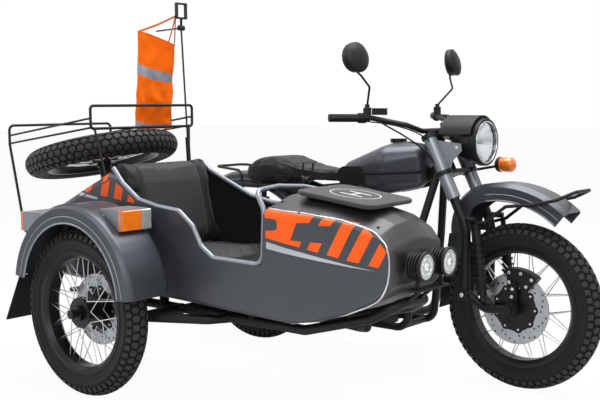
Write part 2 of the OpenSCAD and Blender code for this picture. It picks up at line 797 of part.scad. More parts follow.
module sidecar_tub() color("#4a4d55") {
    last = len(stations) - 1;
    difference() {
        union() {
            difference() {
                shell(0, last, 0);
                shell(0, last, tub_wall);
            }
            // Bulkhead between the cockpit and the trunk
            intersection() {
                shell(0, last, tub_wall / 2);
                block([cockpit_rear - tub_wall, tub_right, 380], [cockpit_rear, tub_left, 1000]);
            }
        }
        cockpit_cut(right_line, tub_right - 50, tub_y, right_path);
        cockpit_cut(left_line, tub_y - 0.01, tub_left + 50, left_path);
        // The backrest stands up through the crown
        block([cockpit_rear, tub_right + tub_wall + 3, 600], [260, tub_left - tub_wall - 3, 1000]);
        lid_space(0);
    }
}

// Ears on the body's rear wall with the lid's hinge pins in them
module lid_hinges() color("#2a2b2d") {
    face = tub_rear - seat_gap;
    for (s = [-1, 1]) difference() {
        y = tub_y + s * hinge_y;
        union() {
            block([face - 6, y - 30, hinge[1] - 34], [face, y + 30, hinge[1] + 26]);
            for (side = [-20, 12])
                side_plate([
                    [face - 1, hinge[1] - 30], [hinge[0] - 4, hinge[1] - 13], [hinge[0] - 13, hinge[1] - 4],
                    [hinge[0] - 13, hinge[1] + 4], [hinge[0] - 4, hinge[1] + 13], [face - 1, hinge[1] + 22]
                ], y + side, y + side + 8);
        }
        drum(hinge[0], y - 40, y + 40, hinge[1], pin_d + 2 * running);
    }
}

module sidecar_seat() color("#1d1d1f") {
    rear = cockpit_rear + 57;
    side_plate([
        [rear, belly(rear) + tub_wall + 1.6], [590, belly(590) + tub_wall + 1.6], [604, 545], [590, 572],
        [560, 584], [270, 576], [rear, 574]
    ], tub_right + coaming_d + 1.5, tub_left - coaming_d - 1.5);
}

module sidecar_backrest() color("#232326") {
    x = cockpit_rear + seat_gap;
    side_plate([
        [x, belly(x) + tub_wall + 1.6], [cockpit_rear + 56.6, belly(x) + tub_wall + 1.6],
        [cockpit_rear + 56.6, 574.4], [250, 576.6], [262, 590], [262, 640], [212, 860], [180, 935],
        [160, 953], [x + 10, 956], [x, 946]
    ], tub_right + coaming_d + 1.5, tub_left - coaming_d - 1.5);
}

module coaming_tubes() color("#5a5d63") {
    bent_tube(right_path, coaming_d, 45);
    bent_tube(left_path, coaming_d, 45);
}

module landing_pad() color("#3b3938") difference() {
    translate([1182, tub_y + 6, 834]) rotate([0, 7.5, 4]) linear_extrude(height = 18) union() {
        square([330, 250], center = true);
        square([250, 330], center = true);
        for (x = [-125, 125], y = [-125, 125]) translate([x, y]) circle(r = 40);
    }
    shell(2, 6, -seat_gap);
}

module device_holder() color("#17181a") {
    base = [735, left_y, 760.4 + coaming_d / 2];
    translate(base) cylinder(h = 8, d = 44);
    rod(base, base + [0, 0, 36], 16);
    translate(base + [0, 0, 44]) sphere(d = 30);
    rod(base + [0, 0, 44], base + [22, -14, 96], 26);
    translate(base + [22, -14, 98]) sphere(d = 30);
    for (s = [-1, 1]) {
        rod(base + [22, -14, 98], base + [22 + s * 26, -14, 112], 14);
        rod(base + [22 + s * 26, -14, 112], base + [34 + s * 26, -14, 172], 8);
    }
}

module driving_lamps() {
    face_x = nose_x + 68;
    lamp_mid_z = 627;
    back_x = nose_x + 8;
    for (y = [tub_y - 82, tub_y + 66]) {
        color("#141517") {
            translate([back_x, y, lamp_mid_z]) rotate([0, 90, 0]) cylinder(h = face_x - back_x - 8, d = 86);
            for (i = [0 : 3]) translate([back_x + 4 + i * 11, y, lamp_mid_z]) rotate([0, 90, 0])
                cylinder(h = 5, d = 98);
            rod([face_x - 36, y, lamp_mid_z - 40], [face_x - 36, y, 545], 12);
        }
        color("#e6edf2") translate([face_x - 8, y, lamp_mid_z]) rotate([0, 90, 0]) cylinder(h = 8, d = 104);
    }
    color("#141517") {
        block([nose_x + 10, tub_y - 110, 538], [face_x - 16, tub_y + 95, 546]);
        difference() {
            for (y = [tub_y - 30, tub_y + 44]) rod([nose_x + 22, y, 540], [1430, y, 480], 14);
            rod([1430, tub_y - 60, 480], [1430, tub_y + 70, 480], sidecar_tube_d + 2 * seat_gap);
        }
    }
}

module sidecar_fender() color("#4a4d55") {
    around_axle(fender_x, wheel_y, fender_z, 4, 171) fender_section(fender_r, fender_w / 2, 78);
    // Stays from the body's side
    for (x = [fender_x - 150, fender_x + 150])
        rod([x, fender_in - 2, 738], [x, tub_right - seat_gap, 738], 16);
}

module mud_flap() color("#151515") {
    translate([fender_x - fender_r + 6, wheel_y - 70, 477.4]) rotate([0, 28, 0])
        block([-6, 0, -246], [-1, 142, 0]);
}

// Lamp housing on the fender from x1 to x2, cut to the fender's curve
module lamp_housing(x1, x2, low, high) {
    difference() {
        block([x1, wheel_y - 50, low], [x2, wheel_y + 98, high]);
        drum(fender_x, wheel_y - 200, wheel_y + 200, fender_z, 2 * (fender_r + seat_gap));
    }
}

module fender_lamps() {
    front = fender_x + 250;
    rear = fender_x - 365;
    color("#6b7078") {
        lamp_housing(front - 116, front, 697, 780);
        lamp_housing(rear, rear + 170, 655, 738);
    }
    color("#f07a12") {
        block([front, wheel_y - 50, 699], [front + 20, wheel_y + 48, 778]);
        block([rear - 18, wheel_y - 50, 657], [rear, wheel_y + 98, 736]);
    }
    color("#dfe4e6") block([front, wheel_y + 48, 699], [front + 20, wheel_y + 98, 778]);
}

// ---- steered front end ---------------------------------------------------

module yoke(z, t) {
    translate([head_x, 0, head_z]) rotate([0, -rake, 0]) translate([0, 0, z]) {
        cylinder(h = t, d = 72);
        for (s = [-1, 1]) translate([fork_offset, s * fork_y, 0]) cylinder(h = t, d = fork_d + 26);
        translate([fork_offset - 22, -fork_y, 0]) cube([44, 2 * fork_y, t]);
    }
}

module fork_frame() color("#16171a") {
    top_z = head_len / 2 + yoke_gap;
    bend_z = (link_x - head_x - fork_offset * cos(rake)) / -sin(rake);
    yoke(top_z, yoke_t);
    yoke(-top_z - yoke_t, yoke_t);
    translate([head_x, 0, head_z]) rotate([0, -rake, 0])
        cylinder(h = 2 * top_z + 2, d = stem_d, center = true);
    for (s = [-1, 1]) {
        y = s * fork_y;
        bent_tube([
            steered(fork_offset, y, top_z + yoke_t + 4), steered(fork_offset, y, bend_z),
            [link_x, y, link_z]
        ], fork_d, 160);
        drum(link_x, y - fork_d / 2, y + fork_d / 2, link_z, fork_d + 10);
        // Ear that carries the top of the shock absorber
        rod([link_x, y, 702], [link_x + 54, y + s * 14, 702], 24);
    }
    // Instrument on its bracket
    dial = [lamp_x - 174, 0, lamp_z + 60];
    rod(steered(20, 0, top_z + 12), dial, 18);
    translate(dial) rotate([0, -28, 0]) cylinder(h = 30, d = 70);
}

module fork_covers() color("#6b7078") {
    inner = fork_d + 0.6;
    for (s = [-1, 1]) translate([head_x, 0, head_z]) rotate([0, -rake, 0])
        translate([fork_offset, s * fork_y, 0]) {
            for (span = [[-head_len / 2, head_len], [-200, 200 - head_len / 2 - yoke_t - 2]])
                translate([0, 0, span[0]]) difference() {
                    cylinder(h = span[1], d = cover_d);
                    translate([0, 0, -1]) cylinder(h = span[1] + 2, d = inner);
                }
        }
    // Ears that hold the headlamp
    for (s = [-1, 1]) {
        y = s > 0 ? lamp_r + 1 : -lamp_r - 5;
        difference() {
            side_plate([
                [lamp_x - 215, lamp_z + 12], [lamp_x - 60, lamp_z - 4], [lamp_x - 56, lamp_z - 34],
                [lamp_x - 100, lamp_z - 76], [lamp_x - 118, lamp_z - 150], [lamp_x - 150, lamp_z - 160]
            ], y, y + 4);
            translate([head_x, 0, head_z]) rotate([0, -rake, 0])
                translate([fork_offset, s * fork_y, -250]) cylinder(h = 500, d = cover_d + 2 * seat_gap);
            translate([head_x, 0, head_z]) rotate([0, -rake, 0])
                translate([fork_offset, s * fork_y, -head_len / 2 - yoke_t - 3])
                    cylinder(h = yoke_t + 5, d = fork_d + 28);
        }
    }
}

module leading_link() color("#17181a") {
    for (s = [-1, 1]) {
        y = s * fork_y;
        bent_tube([
            [link_x + fork_d / 2 + 5 + seat_gap, y, link_z - 8], [link_x + 95, y, 336],
            [wheelbase, y, tyre_r]
        ], link_d, 60);
        drum(wheelbase, y - 19, y + 19, tyre_r, 58);
        drum(wheelbase, s > 0 ? y : y - 32, s > 0 ? y + 32 : y, tyre_r, 34);
    }
    drum(wheelbase, -fork_y, fork_y, tyre_r, axle_d);
    // Brake caliper over the disc, on its bracket
    y = hub_half + 9;
    difference() {
        around_axle(wheelbase, 0, tyre_r, 52, 104) translate([96, y - 22]) square([72, 42]);
        around_axle(wheelbase, 0, tyre_r, 40, 116) translate([60, y - disc_t / 2 - 5])
            square([disc_r - 54, disc_t + 10]);
    }
    block([wheelbase - 24, -y - 30, tyre_r + 20], [wheelbase + 16, -y - 14, tyre_r + 112]);
}

module front_shocks() color("#1b1c1e") {
    for (s = [-1, 1]) {
        low = [link_x + 92, s * (fork_y + 13), 363.7];
        top = [link_x + 52, s * (fork_y + 13), 686];
        u = unit(top - low);
        rod(low, top, 22);
        rod(low + u * 30, top - u * 26, 40);
        for (i = [0 : 8]) rod(low + u * (52 + i * 24), low + u * (60 + i * 24), 54);
    }
}

module headlamp() color("#17181a") {
    translate([lamp_x, 0, lamp_z]) rotate([0, 90, 0]) difference() {
        rotate_extrude() polygon([
            [0, -140], [40, -138], [66, -118], [88, -70], [lamp_r - 3, -30], [lamp_r - 3, -26],
            [lamp_r, -26], [lamp_r, 0], [0, 0]
        ]);
        translate([0, 0, -60]) cylinder(h = 70, r = lamp_r - 10);
    }
    // Bosses that the ears are bolted to
    drum(lamp_x - 82, -lamp_r - 1 + seat_gap, lamp_r + 1 - seat_gap, lamp_z - 22, 24);
}

module headlamp_glass() color("#e8eef2") {
    translate([lamp_x - 12, 0, lamp_z]) rotate([0, 90, 0]) cylinder(h = 8, r = lamp_r - 10 - seat_gap);
}

module lamp_cowl() color("#1e1f22") {
    r = lamp_r + 11;
    translate([lamp_x - 166, 0, lamp_z]) rotate([0, 90, 0]) rotate([0, 0, 108])
        rotate_extrude(angle = 144) translate([r, 0]) square([4, 150]);
    // Posts on the lamp's rim
    for (s = [-1, 1]) rotate([0, 0, 0])
        rod([lamp_x - 24, s * 50, lamp_z + sqrt(pow(lamp_r + seat_gap, 2) - 2500) + 0.6],
            [lamp_x - 24, s * 55, lamp_z + sqrt(pow(r + 2, 2) - 3025)], 8);
}

module handlebar() color("#17181a") {
    top = head_len / 2 + yoke_gap + yoke_t;
    clamp = steered(0, 0, top + 32);
    for (s = [-1, 1]) {
        bent_tube([
            [clamp[0], 0, clamp[2]], [clamp[0], s * 88, clamp[2]], [clamp[0] - 22, s * 178, clamp[2] + 28],
            [890, s * 262, 1121], [779, s * 405, 1123]
        ], bar_d, 40);
        translate([head_x, 0, head_z]) rotate([0, -rake, 0])
            translate([0, s * 42, top + seat_gap]) cylinder(h = 34, d = 32);
    }
}

module hand_controls() color("#141516") {
    for (s = [-1, 1]) {
        b = [779, s * 405, 1123];
        u = unit(b - [890, s * 262, 1121]);
        a = [890, s * 262, 1121] + u * 11;
        n = unit(cross([0, 0, 1], u)) * (s > 0 ? -1 : 1);
        // Grip, switch block and the lever's clamp, bored for the bar
        difference() {
            union() {
                rod(a + u * 46, b + u * 6, 34);
                rod(a + u * 17, a + u * 48, 44);
                rod(a - u * 2, a + u * 18, 36);
                rod(a + u * 9, a + u * 9 + n * 42, 20);
                rod(a + u * 9 + [0, 0, 10], a + u * 9 + [0, 0, 44], 34);
                bent_tube([a + u * 9 + n * 36, a + u * 118 + n * 66, a + u * 178 + n * 58], 11, 40);
            }
            rod(a - u * 20, b + seat_gap * u, bar_d + 0.6);
        }
    }
}

module mirrors() color("#151617") {
    for (s = [-1, 1]) {
        foot = [878, s * 278, 1168];
        bend = [928, s * 330, 1250];
        neck = [900, s * 352, 1298];
        head = [890, s * 380, 1372];
        translate(foot - [0, 0, 2.6]) cylinder(h = 14, d = 20);
        bent_tube([foot + [0, 0, 5], bend, neck, head - [8, 0, 46]], 9, 14);
        translate(head) rotate([0, 84, s * 12]) cylinder(h = 22, d1 = 84, d2 = 122, center = true);
    }
}

module front_turn_lamp() {
    ball = [lamp_x, 180, 915];
    start = steered(fork_offset + 8, fork_y + fork_d / 2 + 18, -86);
    color("#17181a") rod(start, ball - [0, 20, 0], 12);
    color("#f07a12") translate(ball - [30, 0, 0]) rotate([0, 90, 0]) cylinder(h = 56, d = 63);
}

module front_fender() color("#4a4d55") {
    arc_r = 450;
    crest = 100;
    tail_r = 200;
    arc = [wheelbase - 70, 405];
    tail = arc + (arc_r - tail_r) * [cos(crest), sin(crest)];
    half = fender_half;
    around_axle(arc[0], 0, arc[1], 50, crest + 0.2) fender_section(arc_r, half, 74);
    // The rear part is a hair thicker, so it closes over the seam
    around_axle(tail[0], 0, tail[1], crest - 0.2, 187)
        fender_section(tail_r + 0.3, half + 0.3, 74.6, sheet_t + 0.6);
    // Mud flap down behind the wheel
    foot = [tail[0] + tail_r * cos(187), tail[1] + tail_r * sin(187)];
    side_plate([
        [foot[0], foot[1] + 4], [foot[0] + sheet_t, foot[1] + 4], [wheelbase - 360 + sheet_t, 305],
        [wheelbase - 360, 305]
    ], -half + 8, half - 8);
    // Lugs to the fork tubes
    for (s = [-1, 1])
        block(
            [link_x - 62, s > 0 ? half - 2 : -half - clear + seat_gap, 636],
            [link_x + 8, s > 0 ? half + clear - seat_gap : -half + 2, 662]
        );
}

module bash_bar() color("#121314") {
    y = fender_half + 7 + seat_gap;
    start_x = link_x + fork_d / 2 + 3.2;
    tube_line = [
        [start_x, -fork_y + 2, 676], [wheelbase - 128, -y - 2, 694], [wheelbase - 40, -y, 762],
        [wheelbase + 90, -y, 778], [wheelbase + 180, -y, 800], [wheelbase + 252, -y + 14, 834],
        [wheelbase + 252, y - 14, 834], [wheelbase + 180, y, 800], [wheelbase + 90, y, 778],
        [wheelbase - 40, y, 762], [wheelbase - 128, y + 2, 694], [start_x, fork_y - 2, 676]
    ];
    bent_tube(tube_line, 14, 24);
}

// ---- trunk lid with the spare wheel and the rack -------------------------

spare_at = [-240, tub_y - 8, 957];
spare_axis = [-sin(spare_tilt), 0, cos(spare_tilt)];

module trunk_lid() color("#3d4046") {
    difference() {
        intersection() {
            shell(0, 1, 0);
            lid_space(-seat_gap);
        }
        shell(0, 1, tub_wall);
        block([cockpit_rear, tub_right - 10, 800], [cockpit_rear + 60, tub_left + 10, 1000]);
    }
    // Post of the spare wheel
    rod(spare_at - spare_axis * 214, spare_at - spare_axis * (hub_half + seat_gap), 52);
    // Stud through the spare's hub, with its nut
    rod(spare_at - spare_axis * (hub_half + 10), spare_at + spare_axis * (hub_half + 4), axle_d);
    rod(spare_at + spare_axis * (hub_half + seat_gap), spare_at + spare_axis * (hub_half + 16), 44, $fn = 6);
}

module as_spare() translate(spare_at) rotate([0, -spare_tilt, 0]) rotate([90, 0, 0]) children();

module spare_tyre() color("#1d1e20") as_spare() tyre();
module spare_rim() color("#26272a") as_spare() laced_wheel(0);

module luggage_rack() color("#141516") difference() {
    right = tub_right - 2;
    left = tub_left + 58;
    front_x = 5;
    rear = rack_rear_x;
    union() {
        bent_tube([
            [hinge[0], tub_y - hinge_y, hinge[1]], [hinge[0] - 90, tub_y - hinge_y, 608], [-481, right, 604],
            [rear, right, 1006], [rear, right, 1092], [rear, left, 1092], [rear, left, 1006],
            [-481, left, 604], [hinge[0] - 90, tub_y + hinge_y, 608], [hinge[0], tub_y + hinge_y, hinge[1]]
        ], rack_d, 24);
        tube_loop([
            [front_x, right, 1084], [front_x, right, 1180], [front_x, left, 1180], [front_x, left, 1084]
        ], rack_d, 16);
        for (s = [-1, 1]) {
            y = s < 0 ? right : left;
            leg_y = tub_y + s * hinge_y;
            // Side rails
            rod([rear, y, 1046], [front_x, y, 1128], rack_d - 3);
            rod([rear, y, 1010], [front_x, y - s * 4.7, 1088.7], rack_d - 3);
            // Hinge pin, and the arm that goes up to the lid
            drum(hinge[0], leg_y - 24, leg_y + 24, hinge[1], pin_d);
            drum(hinge[0], leg_y - 11, leg_y + 11, hinge[1], 22);
            bent_tube([
                [hinge[0], leg_y, hinge[1]], [tub_rear - 12, leg_y, 712], [tub_rear + 40, leg_y, 742]
            ], rack_d + 2, 20);
            // Front leg down to the lid
            rod([front_x, y - s * 20, 1084], [front_x + 65, tub_y + s * 236, 850], rack_d - 2);
        }
    }
    shell(0, 1, -seat_gap);
}

module mast() color("#2a2b2d") difference() {
    foot = [84, tub_left - 40, 880];
    top = [29, tub_left - 24, 1528];
    union() {
        translate(foot) cylinder(h = 22, d = 44);
        rod(foot + [0, 0, 8], foot + (top - foot) * 0.24, 20);
        rod(foot + [0, 0, 8], top, 8);
        // Frame for a camera on a swivel
        drum(top[0], top[1] - 14, top[1] + 14, top[2], 24);
        rod(top, top + [1, 0, 44], 12);
        difference() {
            block(top + [-6, -32, 40], top + [8, 32, 112]);
            block(top + [-10, -24, 48], top + [12, 24, 104]);
        }
        // Arm that holds the windsock
        rod(top, [-23, tub_left - 128, 1511], 7);
    }
    shell(0, 1, -seat_gap);
}

module windsock() color("#ff6a13") {
    translate([-52, tub_left - 128, 1078]) rotate([0, 4, 0]) linear_extrude(height = 430) union() {
        square([64, 150], center = true);
        for (s = [-1, 1]) translate([0, s * 75]) circle(d = 64);
    }
}

placed() frame();
placed() engine();
placed() gearbox();
placed() cylinders();
placed() intake();
placed() exhausts();
placed() fuel_tank();
placed() knee_pads();
placed() saddle();
placed() side_covers();
placed() footrests();
placed() rear_fender();
placed() tail_lamp();
placed() pillion_rail();
placed() swing_arm();
placed() rear_shocks();
placed() sidecar_frame();
placed() sidecar_ladder();
placed() sidecar_nose_tube();
placed() sidecar_wheel_mount();
placed() boarding_step();
placed() body_mounts();
placed() sidecar_struts();
placed() sidecar_shock();
placed() sidecar_tub();
placed() lid_hinges();
placed() sidecar_seat();
placed() sidecar_backrest();
placed() coaming_tubes();
placed() landing_pad();
placed() device_holder();
placed() driving_lamps();
placed() sidecar_fender();
placed() mud_flap();
placed() fender_lamps();
placed() fork_frame();
placed() fork_covers();
placed() leading_link();
placed() front_shocks();
placed() headlamp();
placed() headlamp_glass();
placed() lamp_cowl();
placed() handlebar();
placed() hand_controls();
placed() mirrors();
placed() front_turn_lamp();
placed() front_fender();
placed() bash_bar();
placed() front_tyre();
placed() front_rim();
placed() rear_tyre();
placed() rear_rim();
placed() sidecar_tyre();
placed() sidecar_rim();
placed() trunk_lid();
placed() luggage_rack();
placed() spare_tyre();
placed() spare_rim();
placed() mast();
placed() windsock();
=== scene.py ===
import math

import bmesh
import bpy
from mathutils import Matrix, Vector, noise
from mathutils.bvhtree import BVHTree


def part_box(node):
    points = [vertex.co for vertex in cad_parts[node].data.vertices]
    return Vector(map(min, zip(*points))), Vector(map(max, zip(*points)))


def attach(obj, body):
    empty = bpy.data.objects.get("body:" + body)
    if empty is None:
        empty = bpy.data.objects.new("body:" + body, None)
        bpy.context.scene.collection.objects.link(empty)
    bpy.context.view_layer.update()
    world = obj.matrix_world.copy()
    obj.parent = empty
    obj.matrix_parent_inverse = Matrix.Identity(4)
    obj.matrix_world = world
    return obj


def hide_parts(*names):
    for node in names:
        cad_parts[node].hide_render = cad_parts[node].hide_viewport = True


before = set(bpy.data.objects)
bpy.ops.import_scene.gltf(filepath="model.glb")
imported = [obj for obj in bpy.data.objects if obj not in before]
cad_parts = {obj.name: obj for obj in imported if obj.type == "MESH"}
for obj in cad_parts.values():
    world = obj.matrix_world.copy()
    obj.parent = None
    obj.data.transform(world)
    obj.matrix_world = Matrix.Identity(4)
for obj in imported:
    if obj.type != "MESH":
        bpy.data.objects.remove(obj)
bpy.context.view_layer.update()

print("sidecar outfit: frame loaded,", len(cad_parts), "parts")

# Lengths below are millimetres from the rear axle's middle, X forward, Y left, Z up
mm = 0.001
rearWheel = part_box("rear_tyre")
originX = (rearWheel[0][0] + rearWheel[1][0]) / 2
originY = (rearWheel[0][1] + rearWheel[1][1]) / 2
tubMiddle = -780
scene = bpy.context.scene


def at(x, y, z):
    # a point in metres in the shared frame
    return Vector((originX + x * mm, originY + y * mm, z * mm))


def colour(code, alpha=1.0):
    # sRGB hex to the linear values that a shader takes
    parts = [int(code[i:i + 2], 16) / 255 for i in (1, 3, 5)]
    return [c / 12.92 if c <= 0.04045 else ((c + 0.055) / 1.055) ** 2.4 for c in parts] + [alpha]


def addNode(tree, kind, inputs=None, **settings):
    node = tree.nodes.new("ShaderNode" + kind)
    for name, value in settings.items():
        setattr(node, name, value)
    for name, value in (inputs or {}).items():
        if isinstance(value, bpy.types.NodeSocket):
            tree.links.new(value, node.inputs[name])
        else:
            node.inputs[name].default_value = value
    return node


# grain: size in mm and kind; cloud: size in mm of the slow change between the two colours
finishes = {
    # polyester enamel, sprayed satin: even dark colour, soft wide highlights, faint orange peel
    "satinEnamelGraphite": dict(
        light="#494c53", dark="#40434a", cloud=320, kind="noise", grain=2.4, bump=0.012,
        rough=(0.30, 0.38), metallic=0.55, coat=0.15, coatRough=0.22),
    # a darker, neutral copy of the same enamel: painted shade on the deck and the nose
    "satinEnamelPaintedShade": dict(
        light="#3f3f42", dark="#363638", cloud=320, kind="noise", grain=2.4, bump=0.012,
        rough=(0.32, 0.40), metallic=0.5, coat=0.15, coatRough=0.22),
    # the same enamel in a paler silver grey, also used as a painted highlight on the fender beads
    "satinEnamelSilver": dict(
        light="#8b9098", dark="#7b8088", cloud=200, kind="noise", grain=2.4, bump=0.012,
        rough=(0.30, 0.40), metallic=0.5, coat=0.2, coatRough=0.25),
    # steel tube, powder coated black: fine pebbled skin
    "powderCoatBlack": dict(
        light="#101112", dark="#0a0b0c", cloud=120, kind="noise", grain=1.2, bump=0.05,
        rough=(0.36, 0.50), specular=0.3),
    # aluminium castings, sand cast and painted black
    "sandCastPaintedBlack": dict(
        light="#1b1c1e", dark="#101113", cloud=60, kind="noise", grain=1.6, bump=0.14,
        rough=(0.42, 0.60), metallic=0.25, specular=0.3),
    # aluminium, sand cast and left bare: pale grey with a gritty skin
    "sandCastAluminium": dict(
        light="#b9bcbf", dark="#8d9093", cloud=50, kind="noise", grain=1.5, bump=0.12,
        rough=(0.34, 0.52), metallic=1.0),
    # steel exhaust pipe, black ceramic coated, with heat bloom
    "ceramicCoatedSteel": dict(
        light="#323337", dark="#1c1d1f", cloud=90, kind="noise", grain=1.0, bump=0.03,
        rough=(0.34, 0.46), metallic=0.6),
    # rims, anodised black aluminium with a low sheen
    "anodisedBlackAluminium": dict(
        light="#2a2c2f", dark="#1c1d1f", cloud=80, kind="streaks", grain=1.0, bump=0.01,
        rough=(0.28, 0.38), metallic=0.7),
    # spokes and bolts, drawn stainless steel
    "drawnStainlessSteel": dict(
        light="#d4d6d8", dark="#b3b5b8", cloud=25, kind="streaks", grain=0.9, bump=0.01,
        rough=(0.20, 0.30), metallic=1.0),
    # brake discs, ground stainless steel: fine rings left by the grinding wheel
    "groundSteel": dict(
        light="#c3c5c8", dark="#9a9da1", cloud=40, kind="noise", grain=1.1, bump=0.02,
        rough=(0.26, 0.38), metallic=1.0),
    # natural rubber, moulded: nearly black, in two close tones
    "mouldedTyreRubber": dict(
        light="#1b1b1d", dark="#101112", cloud=35, kind="noise", grain=1.4, bump=0.10,
        rough=(0.62, 0.80), sheen=0.05, specular=0.25),
    # the same rubber on the tops of the blocks, painted paler as their sheen, and rubbed smooth by the road
    "tyreCrownPaintedSheen": dict(
        light="#2e2f32", dark="#1d1e20", cloud=35, kind="noise", grain=1.4, bump=0.06,
        rough=(0.50, 0.66), sheen=0.05, specular=0.35),
    # softer rubber of grips, pads and flaps
    "mouldedSoftRubber": dict(
        light="#0e0f10", dark="#090a0a", cloud=50, kind="noise", grain=1.2, bump=0.05,
        rough=(0.52, 0.66), sheen=0.04, specular=0.2),
    # ABS, injection moulded with a spark-eroded grain
    "mouldedBlackAbs": dict(
        light="#0f1011", dark="#0a0b0c", cloud=90, kind="noise", grain=1.1, bump=0.06,
        rough=(0.38, 0.50), specular=0.3),
    # vinyl seat cloth, calendered with a leather grain about 2 mm across, drawn at 3 mm to show
    "grainedSeatVinyl": dict(
        light="#141416", dark="#0d0e0f", cloud=140, kind="cells", grain=3.0, bump=0.22,
        rough=(0.46, 0.60), sheen=0.08, specular=0.25),
    # the smoother grey panel in the middle of the sidecar's seat and back
    "smoothSeatVinyl": dict(
        light="#2f3033", dark="#26272a", cloud=160, kind="cells", grain=2.4, bump=0.10,
        rough=(0.48, 0.60), sheen=0.1, specular=0.3),
    # carpet lining of the sidecar's inside, needled felt
    "needledFeltLining": dict(
        light="#0f1011", dark="#080909", cloud=30, kind="noise", grain=1.5, bump=0.35,
        rough=(0.85, 0.95), sheen=0.1, specular=0.1),
    # polyester canvas of the landing mat, plain weave of 1 mm yarn
    "wovenMatCanvas": dict(
        light="#454342", dark="#363433", cloud=110, kind="weave", grain=1.4, bump=0.12,
        rough=(0.68, 0.82), sheen=0.15, specular=0.3),
    # ripstop nylon in safety orange: thin, slightly shiny cloth with a squared weave
    "ripstopNylonOrange": dict(
        light="#ff7406", dark="#f96400", cloud=120, kind="weave", grain=2.2, bump=0.06,
        rough=(0.50, 0.62), sheen=0.02, specular=0.12),
    # glass-bead reflective tape, pressed on cloth: cool grey with a soft glint
    "glassBeadTape": dict(
        light="#a3a1ad", dark="#83818d", cloud=40, kind="cells", grain=1.6, bump=0.05,
        rough=(0.34, 0.48), metallic=0.35),
    # polypropylene webbing, flat woven
    "wovenWebbing": dict(
        light="#e07a3c", dark="#c4642c", cloud=30, kind="weave", grain=1.6, bump=0.15,
        rough=(0.6, 0.75), sheen=0.2),
    # cast vinyl film, orange and silver, cut and stuck on
    "castVinylOrange": dict(
        light="#ff600c", dark="#f75806", cloud=160, kind="noise", grain=3.0, bump=0.006,
        rough=(0.28, 0.36), coat=0.1, coatRough=0.2, specular=0.3),
    "castVinylSilver": dict(
        light="#c2c6cd", dark="#aeb2ba", cloud=160, kind="noise", grain=3.0, bump=0.006,
        rough=(0.26, 0.34), metallic=0.5),
    "castVinylWhite": dict(
        light="#e4e4e2", dark="#d8d8d6", cloud=160, kind="noise", grain=3.0, bump=0.006,
        rough=(0.34, 0.44)),
    # polished stainless trim bead
    "polishedTrim": dict(
        light="#dcdee2", dark="#c4c6ca", cloud=60, kind="noise", grain=3.0, bump=0.004,
        rough=(0.16, 0.24), metallic=0.9),
    # reflectors and mirrors, vacuum metallised: bright and nearly smooth
    "metallisedReflector": dict(
        light="#eef0f2", dark="#dfe1e4", cloud=30, kind="cells", grain=9.0, bump=0.30,
        rough=(0.06, 0.12), metallic=1.0),
    "silveredMirror": dict(
        light="#e9ecef", dark="#e2e5e8", cloud=90, kind="noise", grain=6.0, bump=0.002,
        rough=(0.02, 0.05), metallic=1.0),
    # polycarbonate lenses, moulded with fine flutes on the inside
    "flutedAmberLens": dict(
        light="#ff8a16", dark="#ee6c06", cloud=24, kind="flutes", grain=6.0, bump=0.35,
        rough=(0.10, 0.18), coat=0.8, coatRough=0.05),
    "flutedRedLens": dict(
        light="#c22317", dark="#8f130c", cloud=24, kind="flutes", grain=6.0, bump=0.35,
        rough=(0.10, 0.18), coat=0.8, coatRough=0.05),
    "flutedPaleLens": dict(
        light="#d9dedc", dark="#aab0ae", cloud=24, kind="flutes", grain=6.0, bump=0.40,
        rough=(0.08, 0.16), metallic=0.5, coat=0.8, coatRough=0.05),
    # headlamp and lamp glass, pressed clear
    "pressedClearGlass": dict(
        light="#ffffff", dark="#f4f8fa", cloud=80, kind="flutes", grain=14.0, bump=0.10,
        rough=(0.01, 0.03), transmission=1.0, ior=1.5),
    # instrument dial, printed matt
    "printedDial": dict(
        light="#f0f0ea", dark="#e6e6df", cloud=60, kind="noise", grain=2.0, bump=0.004,
        rough=(0.42, 0.52)),
}


